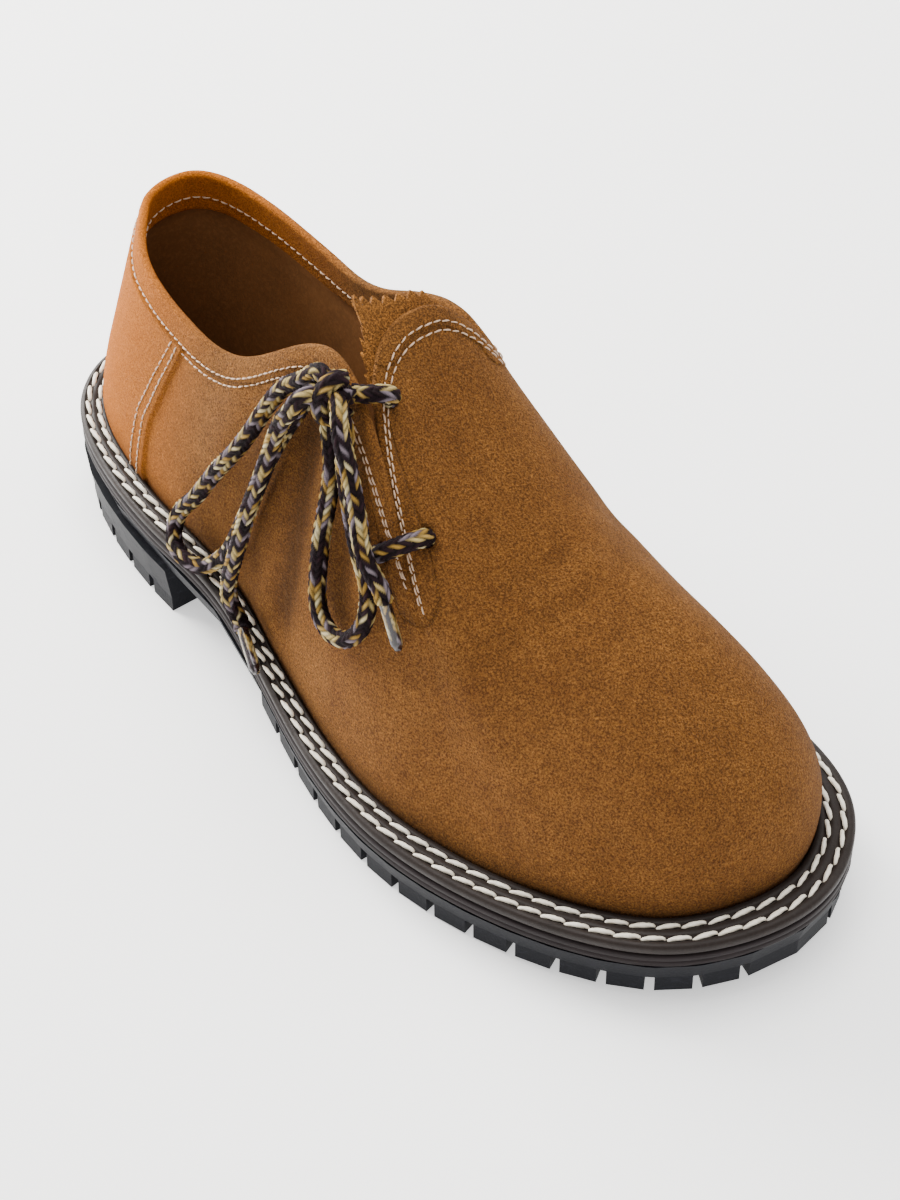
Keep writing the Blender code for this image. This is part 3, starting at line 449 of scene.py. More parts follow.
def suede(name, light, mid, dark, folds=True):
    """Cow suede, split leather buffed to a nap: matte, blotched where the nap lies over, with fine fibre specks,
    painted light on the heel end and, where folds is set, painted shade in the folds and along the foot.
    """
    made, tree, shader = start(name, 0.95, Sheen_Weight=0.05, Sheen_Roughness=0.5, Specular_IOR_Level=0.12)
    shader.inputs["Sheen Tint"].default_value = (*srgb("#E8B070"), 1)
    where = place_of(tree)
    patch = between(tree, grain(tree, where, 26, 3.0, 0.6, 0.5), 0.33, 0.67)
    cloud = between(tree, grain(tree, where, 7, 4.0, 0.65, 0.8), 0.30, 0.70)
    lying = between(tree, grain(tree, place_of(tree, (0.55, 1.0, 1.0)), 2.1, 3.0, 0.7, 1.2), 0.30, 0.70)
    # real fibre clumps are about 0.3 mm and are drawn at 0.55 mm so that they show
    speck = between(tree, grain(tree, where, 0.55, 2.0, 0.8), 0.36, 0.64)
    tone = blend(tree, patch, (*mid, 1), (*light, 1))
    tone = blend(tree, times(tree, cloud, 0.42), tone, (*[c * 0.62 for c in mid], 1))
    tone = blend(tree, times(tree, lying, 0.36), tone, (*[c * 1.5 for c in light], 1))
    tone = blend(tree, times(tree, speck, 0.72), tone, (*dark, 1))
    # painted light: the heel end is painted paler and more orange, standing in for the light that falls on the heel
    # side
    along = add(tree, "ShaderNodeSeparateXYZ", {0: where}).outputs[0]
    painted_heel_light = [c * k for c, k in zip(light, (2.45, 1.6, 0.22))]
    tone = blend(tree, between(tree, along, -0.06, -0.14, 0.0, 0.72), tone, (*painted_heel_light, 1))
    tone = blend(tree, times(tree, speck, 0.4), tone, (*dark, 1))
    if folds:
        # painted shade: the suede is darkened where the fold attribute marks a trough in the upper
        fold = add(tree, "ShaderNodeAttribute", attribute_name="fold").outputs["Fac"]
        tone = blend(tree, between(tree, fold, 0.35, 1.5, 0.0, 0.6), tone, (*dark, 1))
        # painted shade: the suede is darkened within 9 mm of the feather, where the upper meets the welt
        foot = add(tree, "ShaderNodeAttribute", attribute_name="foot_mm").outputs["Fac"]
        tone = blend(tree, between(tree, foot, 9.0, 0.0, 0.0, 0.38), tone, (*dark, 1))
    tree.links.new(tone, shader.inputs["Base Color"])
    first = bumped(tree, shader, cloud, 0.25, 0.0009)
    second = bumped(tree, shader, lying, 0.45, 0.00055, first)
    third = bumped(tree, shader, speck, 0.8, 0.0005, second)
    if folds:
        edge = add(tree, "ShaderNodeAttribute", attribute_name="edge_mm").outputs["Fac"]
        line = times(tree, between(tree, times(tree, edge, BAND + 0.25, "SUBTRACT"), -0.55, 0.0),
                     between(tree, times(tree, edge, BAND + 0.25, "SUBTRACT"), 0.55, 0.0))
        bumped(tree, shader, times(tree, line, -1.0), 0.9, 0.0008, third)
    return made


def smooth_leather(name, tone, rough, coat, grain_mm=0.7, relief=0.35, vary=0.35):
    """Vegetable-tanned leather, rolled and waxed: fine pores, a soft gloss and a slightly uneven stain."""
    made, tree, shader = start(name, rough, Coat_Weight=coat, Coat_Roughness=0.35, Specular_IOR_Level=0.14)
    where = place_of(tree)
    stain = between(tree, grain(tree, where, 14, 4.0, 0.6, 0.4), 0.3, 0.7)
    pores = grain(tree, where, grain_mm, 3.0, 0.7)
    base = blend(tree, times(tree, stain, vary), (*tone, 1), (*[c * 0.5 for c in tone], 1))
    base = blend(tree, times(tree, between(tree, pores, 0.45, 0.75), 0.3), base, (*[min(1, c * 1.9) for c in tone], 1))
    tree.links.new(base, shader.inputs["Base Color"])
    tree.links.new(between(tree, stain, 0.0, 1.0, rough - 0.07, rough + 0.1), shader.inputs["Roughness"])
    bumped(tree, shader, pores, relief, 0.0003)
    return made


def moulded_rubber(name, tone):
    """Nitrile rubber from a blasted mould: blue-black, dull, with a fine even tooth and a few grey scuffs."""
    made, tree, shader = start(name, 0.75, Specular_IOR_Level=0.08)
    where = place_of(tree)
    tooth = grain(tree, where, 0.6, 2.0, 0.6)
    scuff = between(tree, grain(tree, place_of(tree, (1.0, 1.0, 2.5)), 5, 4.0, 0.7, 0.8), 0.56, 0.74)
    base = blend(tree, times(tree, scuff, 0.35), (*tone, 1), (*srgb("#3E3E46"), 1))
    tree.links.new(base, shader.inputs["Base Color"])
    tree.links.new(between(tree, scuff, 0.0, 1.0, 0.5, 0.75), shader.inputs["Roughness"])
    bumped(tree, shader, tooth, 0.3, 0.0003)
    return made


def layered_edge(name, tone):
    """Leather board, pressed in layers and edge-dyed brown: faint level lines and a waxed, streaky side."""
    made, tree, shader = start(name, 0.55, Specular_IOR_Level=0.12)
    where = place_of(tree)
    layers = grain(tree, place_of(tree, (0.12, 0.12, 2.6)), 1.6, 2.0, 0.6)
    stain = between(tree, grain(tree, where, 9, 4.0, 0.65, 0.6), 0.3, 0.72)
    base = blend(tree, times(tree, stain, 0.55), (*tone, 1), (*[c * 0.45 for c in tone], 1))
    base = blend(tree, times(tree, between(tree, layers, 0.45, 0.7), 0.35), base, (*[min(1, c * 1.8) for c in tone], 1))
    tree.links.new(base, shader.inputs["Base Color"])
    bumped(tree, shader, layers, 0.35, 0.0004)
    return made


def waxed_thread(name, tone):
    """Linen thread, twisted and waxed: off-white, softly shiny, slightly soiled."""
    made, tree, shader = start(name, 0.62, Sheen_Weight=0.1, Coat_Weight=0.12)
    soil = between(tree, grain(tree, place_of(tree), 3.5, 3.0, 0.6), 0.42, 0.75)
    base = blend(tree, times(tree, soil, 0.4), (*tone, 1), (*srgb("#B3A386"), 1))
    tree.links.new(base, shader.inputs["Base Color"])
    bumped(tree, shader, grain(tree, place_of(tree), 0.45, 2.0, 0.6), 0.4, 0.0002)
    return made


def braided(name, gloss):
    """Polyester cord, braided from dyed strands: strand colours with painted shade between the strands on the surface,
    fine fibres and a silky gloss.
    """
    made, tree, shader = start(name, 0.7 - 0.4 * gloss, Specular_IOR_Level=0.08, Coat_Weight=gloss)
    # the strand attribute holds the strand colours with their painted shade
    strand = add(tree, "ShaderNodeAttribute", attribute_name="strand").outputs["Color"]
    fibre = between(tree, grain(tree, place_of(tree), 0.4, 2.0, 0.7), 0.3, 0.7)
    base = blend(tree, times(tree, fibre, 0.4), strand, (*srgb("#1B1418"), 1), "MULTIPLY")
    base = blend(tree, 0.35, base, strand)
    tree.links.new(base, shader.inputs["Base Color"])
    bumped(tree, shader, fibre, 0.5 * (1 - gloss) + 0.1, 0.0003)
    return made


def tube_faces(rings, sides, swap=False):
    """Quads between rings of points and fans to the two end points, which come last."""
    faces = []
    for i in range(rings - 1):
        for j in range(sides):
            a, b = i * sides + j, i * sides + (j + 1) % sides
            faces.append((a, a + sides, b + sides, b) if swap else (a, b, b + sides, a + sides))
    last = (rings - 1) * sides
    for j in range(sides):
        k = (j + 1) % sides
        faces.append((rings * sides, j, k) if swap else (rings * sides, k, j))
        faces.append((rings * sides + 1, last + k, last + j) if swap else (rings * sides + 1, last + j, last + k))
    return faces


def mesh_piece(name, verts, faces, materials, faces_material=None, values=None):
    """A mesh object at the origin from points in the frame's metres; values are named numbers per point."""
    mesh = bpy.data.meshes.new(name)
    mesh.from_pydata([tuple(map(float, v)) for v in verts], [], [tuple(map(int, f)) for f in faces])
    for key, numbers in (values or {}).items():
        numbers = np.asarray(numbers, float)
        if numbers.ndim == 2:
            layer = mesh.attributes.new(key, "FLOAT_COLOR", "POINT")
            layer.data.foreach_set("color", np.hstack([numbers, np.ones((len(numbers), 1))]).ravel())
        else:
            layer = mesh.attributes.new(key, "FLOAT", "POINT")
            layer.data.foreach_set("value", numbers)
    for one in materials:
        mesh.materials.append(one)
    if faces_material is not None:
        mesh.polygons.foreach_set("material_index", np.asarray(faces_material, dtype=np.int32))
    mesh.polygons.foreach_set("use_smooth", [True] * len(mesh.polygons))
    mesh.validate()
    mesh.update()
    piece = bpy.data.objects.new(name, mesh)
    bpy.context.scene.collection.objects.link(piece)
    return piece


def turn_out(piece):
    bm = bmesh.new()
    bm.from_mesh(piece.data)
    bmesh.ops.recalc_face_normals(bm, faces=bm.faces)
    bm.to_mesh(piece.data)
    bm.free()


def band_round(name, profile, slot, count=560):
    """A closed band round the sole: profile gives, from the stations, each corner's inset and height."""
    stations = np.linspace(-10, 10, count, endpoint=False)
    rings = []
    for inset, height in profile:
        inset = inset(stations) if callable(inset) else np.full(count, inset)
        flat = outline(stations, inset)
        z = underside(outline(stations, 0.004)[:, 0]) + OUTSOLE_PLATE + height
        rings.append(np.column_stack([flat, z]))
    verts = placed(np.vstack(rings))
    rows = len(rings)
    faces = []
    for r in range(rows):
        nxt = (r + 1) % rows
        for i in range(count):
            j = (i + 1) % count
            faces.append((r * count + i, r * count + j, nxt * count + j, nxt * count + i))
    piece = mesh_piece(name, verts, faces, [slot])
    turn_out(piece)
    return piece


def section_normals(kind, where, share):
    """Points on the upper's outer surface and the directions out of it; kind is quarter, outer or inner vamp."""
    where = np.atleast_1d(np.asarray(where, float))
    share = np.broadcast_to(np.asarray(share, float), where.shape)

    def at(a, t):
        return quarter(a, t) if kind == "quarter" else vamp(-1 if kind == "outer" else 1, a, t)
    p = at(where, share)
    across = at(where + 0.01, share) - at(where - 0.01, share)
    up = at(where, share + 0.004) - at(where, share - 0.004)
    out = np.cross(across, up)
    out /= np.linalg.norm(out, axis=1, keepdims=True)
    core = np.column_stack([np.clip(p[:, 0], 0.06, 0.24), np.zeros(len(p)), np.full(len(p), 0.03)])
    out *= np.sign(((p - core) * out).sum(1))[:, None]
    return p, out


def near_line(points, line):
    """Distance of each point to a run of points."""
    best = np.full(len(points), 1e9)
    for a, b in zip(line[:-1], line[1:]):
        d = b - a
        t = np.clip(((points - a) @ d) / (d @ d + 1e-18), 0, 1)
        best = np.minimum(best, np.linalg.norm(points - a - t[:, None] * d, axis=1))
    return best


def opening_line():
    """The topline: collar from the outer front round the heel to the inner front, over the throat, down the slit."""
    stations = np.linspace(-VAMP[0][1], VAMP[0][2], 260)
    collar = quarter(stations, np.ones(260))
    throat = vamp(1, np.zeros(40), np.linspace(CORNER_SHARE, 1, 40))
    slit = vamp(-1, np.zeros(110), np.linspace(1, SLIT_SHARE, 110))
    return np.vstack([collar, throat, slit])


def fold_depth(points):
    """How deep the upper's folds are at each point, metres."""
    depth = np.zeros(len(points))
    for line, width, deep in FOLDS:
        d = near_line(points, np.array(line) / 1000) / (width / 1000)
        depth += deep / 1000 * np.exp(-d * d)
    return depth


def waver(points):
    """The uneven lie of hand-lasted suede, within a third of a millimetre."""
    return np.array([noise.noise(Vector(p) * 33) * 0.00034 + noise.noise(Vector(p) * 90) * 0.00012
                     for p in points])


def turned_edge(points):
    """Distance to the topline as the turned edge has it: narrower at the throat and none along the slit."""
    line = opening_line()
    collar, throat, slit = line[:TOPLINE[0]], line[TOPLINE[0]:TOPLINE[1]], line[TOPLINE[1]:]
    over = np.minimum(near_line(points, throat) + THROAT_LESS, near_line(points, slit) + SLIT_LESS)
    return np.minimum(near_line(points, collar), over)


def skin(points, out, edge, extra=0.0):
    """The finished outer surface over the CAD one: turned edge, folds and waver; edge is how far the topline is."""
    turned = 0.0005 * (1 - ease(BAND - 0.5, BAND + 0.3, turned_edge(points) * 1000))
    turned = turned - 0.0003 * ease(2.0, 0.0, edge * 1000)
    fade = ease(2.0, 9.0, edge * 1000)
    move = turned - fold_depth(points) * (0.35 + 0.65 * fade) + waver(points) + extra
    return points + out * np.asarray(move)[:, None]


def counter_rise(station, edge):
    """The counter lies on the quarters: a full step behind its seam, lost under the turned collar edge."""
    inside = 1 - ease(-0.012, 0.012, np.abs(station) - COUNTER_SEAM)
    return COUNTER_STEP * inside * ease(BAND - 0.2, BAND + 0.8, edge * 1000)


def fine_upper():
    """Grid of the outer sheet: points, quads, the topline's loop with each point's neighbour, and the stations."""
    low = np.linspace(0, 0.80, 15, endpoint=False)
    shares = np.concatenate([low, np.linspace(0.80, 1, 16)])
    k = len(shares) - 1
    n = k + 34
    rows = np.concatenate([np.linspace(0, 0.34, 18), np.linspace(0.36, 5.0, 66)])

    def vamp_run(side, row):
        split = SLIT_SHARE if side < 0 else CORNER_SHARE
        packed = np.concatenate([split * shares[:-1], np.linspace(split, 1, n - k + 1)])
        w = ease(0.0, 3.0, float(row))
        return packed * (1 - w) + np.linspace(0, 1, n + 1) * w

    first, last = -VAMP[0][1], VAMP[0][2]
    columns = [s for s in np.arange(first + 0.08, last - 0.05, 0.08) if abs(abs(s) - COUNTER_SEAM) > 0.05]
    for seam in (-COUNTER_SEAM, COUNTER_SEAM):
        columns += [seam - 0.018, seam - 0.006, seam + 0.006, seam + 0.018]
    columns = [first] + sorted(columns) + [last]
    drop = np.array([0.0, 0.0, -(WELT_THICKNESS - FOOT_GAP)])
    verts, station = [], []
    faces = []
    grid = []
    for s in columns:
        at = leaned(s, shares)
        p = quarter(at, shares)
        if s == first:
            p = vamp(-1, np.zeros(k + 1), SLIT_SHARE * shares)
        if s == last:
            p = vamp(1, np.zeros(k + 1), CORNER_SHARE * shares)
        ids = list(range(len(verts), len(verts) + k + 2))
        verts += [p[0] + drop] + list(p)
        station += [s] * (k + 2)
        grid.append(ids)
    for a, b in zip(grid, grid[1:]):
        faces += [(a[j], b[j], b[j + 1], a[j + 1]) for j in range(k + 1)]
    loop = [(g[-1], g[-2]) for g in grid]
    ridge, tip, edges = [], None, {}
    for side, begin in ((1, grid[-1]), (-1, grid[0])):
        before = None
        for c, row in enumerate(rows):
            if side < 0 and c == len(rows) - 1:
                ids = tip
            else:
                p = vamp(side, np.full(n + 1, row), vamp_run(side, row))
                ids = []
                for j, q in enumerate([p[0] + drop] + list(p)):
                    if c == 0 and j <= k + 1:
                        ids.append(begin[j])
                    elif side < 0 and j == n + 1:
                        ids.append(ridge[c])
                    else:
                        ids.append(len(verts))
                        verts.append(q)
                        station.append(9.0)
                if side > 0:
                    ridge.append(ids[-1])
                    tip = ids
            if before is not None:
                first, second = (before, ids) if side > 0 else (ids, before)
                faces += [(first[j], second[j], second[j + 1], first[j + 1]) for j in range(n + 1)]
            if c == 0:
                edges[side] = ids
            if c == 1:
                edges[side] = list(zip(edges[side], ids))[k + 2:]
            before = ids
    loop += edges[1][1:] + edges[-1][::-1][1:]
    return np.array(verts), faces, loop, np.array(station)


def point_normals(verts, faces):
    f = np.array(faces)
    cross = np.cross(verts[f[:, 2]] - verts[f[:, 0]], verts[f[:, 3]] - verts[f[:, 1]])
    out = np.zeros_like(verts)
    for c in range(4):
        np.add.at(out, f[:, c], cross)
    return out / (np.linalg.norm(out, axis=1, keepdims=True) + 1e-15)


def shell(name, verts, faces, loop, outer, inner, slots, inner_slot, values):
    """Two sheets joined by a rounded edge along the loop and a plain edge elsewhere."""
    count = len(verts)
    points = list(outer) + list(inner)
    quads = [tuple(f) for f in faces] + [tuple(count + i for i in reversed(f)) for f in faces]
    slot_of = [0] * len(faces) + list(inner_slot)
    known = {key: list(v) + list(v) for key, v in values.items()}
    used = set()
    rings = []
    for a, b in loop:
        p, q = outer[a], inner[a]
        middle = (p + q) / 2
        up = p - q
        half = np.linalg.norm(up) / 2
        up = up / (2 * half)
        away = middle - (outer[b] + inner[b]) / 2
        away -= up * away.dot(up)
        away /= np.linalg.norm(away)
        ring = [a]
        for angle in (25, 55, 90, 125, 155):
            r = math.radians(angle)
            ring.append(len(points))
            points.append(middle + (math.cos(r) * up + math.sin(r) * away * 0.9) * half)
            for key in known:
                known[key].append(known[key][a])
        ring.append(count + a)
        rings.append(ring)
    for r, s in zip(rings, rings[1:] + rings[:1]):
        used.add(frozenset((r[0], s[0])))
        for j in range(len(r) - 1):
            quads.append((r[j], s[j], s[j + 1], r[j + 1]))
            slot_of.append(0)
    seen = {}
    for f in faces:
        for a, b in zip(f, tuple(f[1:]) + (f[0],)):
            key = frozenset((a, b))
            seen[key] = None if key in seen else (a, b)
    for key, edge in seen.items():
        if edge is not None and key not in used:
            a, b = edge
            quads.append((b, a, count + a, count + b))
            slot_of.append(0)
    piece = mesh_piece(name, placed(points), quads, slots, slot_of, known)
    turn_out(piece)
    return piece


def braid_path(route, step=0.0005):
    """Evenly spaced points of a smooth line through a route in metres."""
    p = np.asarray(route, float)
    run = run_of(p)
    fine = natural(p, run, np.linspace(0, run[-1], 3000))
    far = run_of(fine)
    count = max(6, int(round(far[-1] / step)))
    even = np.linspace(0, far[-1], count + 1)
    return np.column_stack([np.interp(even, far, fine[:, i]) for i in range(3)])


# strand colours of the plait, mostly dark with straw and gold between
STRANDS = ("#1C0F12", "#241418", "#BFA76C", "#1A0E12", "#9A7838", "#22131A", "#CDBD90", "#2A181E", "#7C7078",
           "#1C1014", "#B08F4E")


def braid_tube(path, diameter, pitch, sides=40, relief=0.19, shift=0.0, taper=0.0):
    """Points, quads and strand colours of a round plait: eight columns of slanting strands that meet in vees, each
    strand colour darkened as painted shade where it dips under its neighbours.
    """
    path = np.asarray(path, float)
    tangent = np.gradient(path, axis=0)
    tangent /= np.linalg.norm(tangent, axis=1, keepdims=True)
    side = np.cross(tangent[0], (0.31, 0.2, 0.93))
    side /= np.linalg.norm(side)
    run = run_of(path)
    colour = np.array([srgb(c) for c in STRANDS])
    angle = np.arange(sides) / sides * 2 * math.pi
    verts, strand_colours_painted_shade = [], []
    total = run[-1]
    for i in range(len(path)):
        side = side - tangent[i] * side.dot(tangent[i])
        side /= np.linalg.norm(side)
        other = np.cross(tangent[i], side)
        u = angle / (2 * math.pi) * 8
        v = run[i] / pitch + shift * 7
        column = np.floor(u).astype(int)
        across = u - column
        lean = np.where(column % 2 == 0, across, 1 - across)
        leg = v + 1.15 * lean + 0.25 * (column // 2)
        along = leg - np.floor(leg)
        middle = np.sin(math.pi * np.clip(across * 0.9 + 0.05, 0, 1)) ** 0.6
        rise = (np.sin(math.pi * along) ** 0.55) * (0.35 + 0.65 * middle)
        end = 1.0
        if taper:
            end = 1 - 0.35 * ease(total - taper, total, run[i])
        radius = diameter / 2 * (1 - relief + 1.35 * relief * rise) * end
        ring = path[i] + np.outer(np.cos(angle) * radius, side) + np.outer(np.sin(angle) * radius, other)
        verts.append(ring)
        which = np.floor(leg).astype(int)
        pick = (which * 7 + column * 3 + (which // 4) * 4 + (which * column) % 5) % len(STRANDS)
        # painted shade: a strand's colour falls to 12 % at its low ends and edges, where it dips between its neighbours
        strand_colours_painted_shade.append(colour[pick] * (0.12 + 0.88 * rise[:, None] ** 1.5))
    points = np.vstack(verts + [path[:1], path[-1:]])
    shade = np.vstack(strand_colours_painted_shade + [strand_colours_painted_shade[0][:1], strand_colours_painted_shade[-1][:1]])
    return points, tube_faces(len(path), sides), shade


def braid_piece(name, parts, slot):
    """One object from several braid tubes."""
    points, faces, strand_colours_painted_shade = [], [], []
    count = 0
    for p, f, t in parts:
        points.append(p)
        faces += [tuple(i + count for i in face) for face in f]
        strand_colours_painted_shade.append(t)
        count += len(p)
    piece = mesh_piece(name, np.vstack(points), faces, [slot], values={"strand": np.vstack(strand_colours_painted_shade)})
    turn_out(piece)
    return piece


def thread_mesh(name, length, thick, rings, sides, lobes, sag):
    """One stitch lying along X: twisted thread that dives at both ends."""
    verts = []
    for i in range(rings + 1):
        s = i / rings
        r = thick / 2 * math.sin(math.pi * (0.10 + 0.80 * s)) ** 0.35
        for j in range(sides):
            a = j / sides * 2 * math.pi
            bump = 1 + 0.13 * math.cos(lobes * a - s * length / thick * 2.6)
            dive = -sag * (2 * s - 1) ** 4
            verts.append(((s - 0.5) * length, math.cos(a) * r * bump, math.sin(a) * r * bump + dive))
    verts += [(-length / 2, 0, -sag), (length / 2, 0, -sag)]
    piece = mesh_piece(name, verts, tube_faces(rings + 1, sides, True), [])
    turn_out(piece)
    return piece


def stitch_tree():
    """Stitches along a line: even steps, each turned along the line with its back to the surface."""
    tree = bpy.data.node_groups.new("stitches_on_a_line", "GeometryNodeTree")
    face = tree.interface
    for label, kind in (("Geometry", "Geometry"), ("Stitch", "Object"), ("Pitch", "Float"), ("Slant", "Float"),
                        ("Uneven", "Float"), ("Thread", "Material")):
        face.new_socket(label, in_out="INPUT", socket_type="NodeSocket" + kind)
    face.new_socket("Geometry", in_out="OUTPUT", socket_type="NodeSocketGeometry")
    given = add(tree, "NodeGroupInput").outputs
    line = add(tree, "GeometryNodeMeshToCurve", {0: given["Geometry"]}).outputs[0]
    even = add(tree, "GeometryNodeResampleCurve", {"Curve": line, "Length": given["Pitch"]}, mode="LENGTH").outputs[0]
    along = add(tree, "GeometryNodeInputTangent").outputs[0]
    up = add(tree, "GeometryNodeInputNamedAttribute", {"Name": "up"}, data_type="FLOAT_VECTOR").outputs[0]
    turned = add(tree, "FunctionNodeAlignRotationToVector", {"Vector": up}, axis="Z").outputs[0]
    turned = add(tree, "FunctionNodeAlignRotationToVector", {"Rotation": turned, "Vector": along},
                 axis="X", pivot_axis="Z").outputs[0]
    swing = add(tree, "FunctionNodeRandomValue", {2: -1.0, 3: 1.0, "Seed": 7}, data_type="FLOAT").outputs[1]
    swing = times(tree, times(tree, swing, given["Uneven"]), given["Slant"], "ADD")
    about = add(tree, "FunctionNodeAxisAngleToRotation", {"Axis": (0, 0, 1), "Angle": swing}).outputs[0]
    turned = add(tree, "FunctionNodeRotateRotation", {0: turned, 1: about}, rotation_space="LOCAL").outputs[0]
    stitch = add(tree, "GeometryNodeObjectInfo", {"Object": given["Stitch"]}).outputs["Geometry"]
    size = add(tree, "FunctionNodeRandomValue", {2: 0.92, 3: 1.06, "Seed": 3}, data_type="FLOAT").outputs[1]
    put = add(tree, "GeometryNodeInstanceOnPoints",
              {"Points": even, "Instance": stitch, "Rotation": turned, "Scale": size}).outputs[0]
    real = add(tree, "GeometryNodeRealizeInstances", {"Geometry": put}).outputs[0]
    done = add(tree, "GeometryNodeSetMaterial", {"Geometry": real, "Material": given["Thread"]}).outputs[0]
    add(tree, "NodeGroupOutput", {0: done})
    return tree


def sew(name, lines, stitch, tree, pitch, slant, uneven, thread):
    """Runs the stitch tree on lines of (points, directions up, closed) and keeps the result as a plain mesh."""
    verts, ups, edges = [], [], []
    for points, up, closed in lines:
        first = len(verts)
        verts += [tuple(p) for p in placed(points)]
        ups += [tuple(u) for u in up]
        edges += [(first + i, first + i + 1) for i in range(len(points) - 1)]
        if closed:
            edges.append((first + len(points) - 1, first))
    mesh = bpy.data.meshes.new(name)
    mesh.from_pydata(verts, edges, [])
    layer = mesh.attributes.new("up", "FLOAT_VECTOR", "POINT")
    layer.data.foreach_set("vector", np.array(ups).ravel())
    guide = bpy.data.objects.new(name + "_guide", mesh)
    bpy.context.scene.collection.objects.link(guide)
    run = guide.modifiers.new("stitches", "NODES")
    run.node_group = tree
    names = {s.name: s.identifier for s in tree.interface.items_tree if s.in_out == "INPUT"}
    for key, value in (("Stitch", stitch), ("Pitch", pitch), ("Slant", slant), ("Uneven", uneven), ("Thread", thread)):
        run[names[key]] = value
    ready = guide.evaluated_get(bpy.context.evaluated_depsgraph_get())
    made = bpy.data.meshes.new_from_object(ready)
    made.polygons.foreach_set("use_smooth", [True] * len(made.polygons))
    piece = bpy.data.objects.new(name, made)
    bpy.context.scene.collection.objects.link(piece)
    bpy.data.objects.remove(guide)
    return piece


def collar_line(mm, low=-6.45, high=5.75, count=240, side=1.0, lift=0.0002):
    """Points along the quarters at a distance under the topline."""
    stations = np.linspace(low, high, count)
    t = np.linspace(1, 0.35, 120)
    picked = []
    for s in stations:
        p = quarter(np.full(120, s), t)
        picked.append(np.interp(mm / 1000, run_of(p), t))
    p, out = section_normals("quarter", stations, np.array(picked))
    edge = np.full(count, mm / 1000)
    if side > 0:
        return skin(p, out, edge, lift), out, False
    return p - out * (WALL + 0.0005 + lift), -out, False


def throat_line(mm, lift=0.0002):
    """Points along the vamp at a distance from its free edge: the slit's foot, the throat, the inner corner."""
    rows = np.linspace(0, 1.4, 120)
    ends, ways = [], []
    for kind, side, shares in (("outer", -1, np.linspace(SLIT_SHARE + 0.02, 1, 110)),
                               ("inner", 1, np.linspace(0.99, CORNER_SHARE + 0.01, 34))):
        at = []
        for t in shares:
            p = vamp(side, rows, np.full(120, t))
            at.append(np.interp(mm / 1000, run_of(p), rows))
        p, out = section_normals(kind, np.array(at), shares)
        ends.append(p)
        ways.append(out)
    p, out = np.vstack(ends), np.vstack(ways)
    return skin(p, out, np.full(len(p), mm / 1000), lift), out, False


def seam_line(sign, mm):
    """Points down the counter's front edge, that far behind it."""
    share = np.linspace(0.03, 0.86, 60)
    at = leaned(COUNTER_SEAM, share) - mm / 23.0
    p, out = section_normals("quarter", sign * at, share)
    edge = near_line(p, opening_line())
    return skin(p, out, edge, COUNTER_STEP + 0.0002), out, False


def distance(name, description, default):
    return FloatProperty(name=name, description=description, default=default, subtype="DISTANCE")


def shade_of(name, description, code):
    return FloatVectorProperty(name=name, description=description, subtype="COLOR", size=3, default=srgb(code))


class ShoeSizes(bpy.types.PropertyGroup):
    lace: distance("Lace", "Diameter of the braided lace", 0.0049)
    braid: distance("Braid step", "Length of one crossing of the braid", 0.0022)
    sole_stitch: distance("Welt stitch", "Pitch of the welt stitches", 0.0069)
    sole_thread: distance("Welt thread", "Thickness of the welt thread", 0.00138)
    stitch: distance("Upper stitch", "Pitch of the stitches in the suede", 0.0029)
    thread: distance("Upper thread", "Thickness of the thread in the suede", 0.00050)
    teeth: IntProperty(name="Tongue teeth", description="Pinked teeth across the tongue", default=26, min=8, max=60)


class ShoeColours(bpy.types.PropertyGroup):
    suede: shade_of("Suede", "Suede with its nap up", "#94612C")
    nap: shade_of("Nap", "Suede with its nap down", "#76491D")
    # the shade colour is used for the suede's fibre specks and for the painted shade in its folds and along the welt
    shade: shade_of("Fold", "Suede in folds and specks", "#2E1B0B")
    welt: shade_of("Welt", "Welt leather", "#241D1A")
    board: shade_of("Midsole", "Midsole board", "#1A1213")
    rubber: shade_of("Rubber", "Sole rubber", "#0F1015")
    lining: shade_of("Lining", "Lining leather", "#7A5230")
    insole: shade_of("Insole", "Insole leather", "#7A5A38")
    fine: shade_of("Fine thread", "Thread in the suede", "#B9987C")
    thread: shade_of("Thread", "Welt thread", "#EDE5D4")


def sizes():
    return bpy.context.scene.shoe_sizes


def colours():
    return bpy.context.scene.shoe_colours


def dress(piece, node, replaces=True):
    """A finished piece rides on the body and, where it replaces its CAD node, hides that node."""
    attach(piece, "root")
    if replaces:
        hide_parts(node)


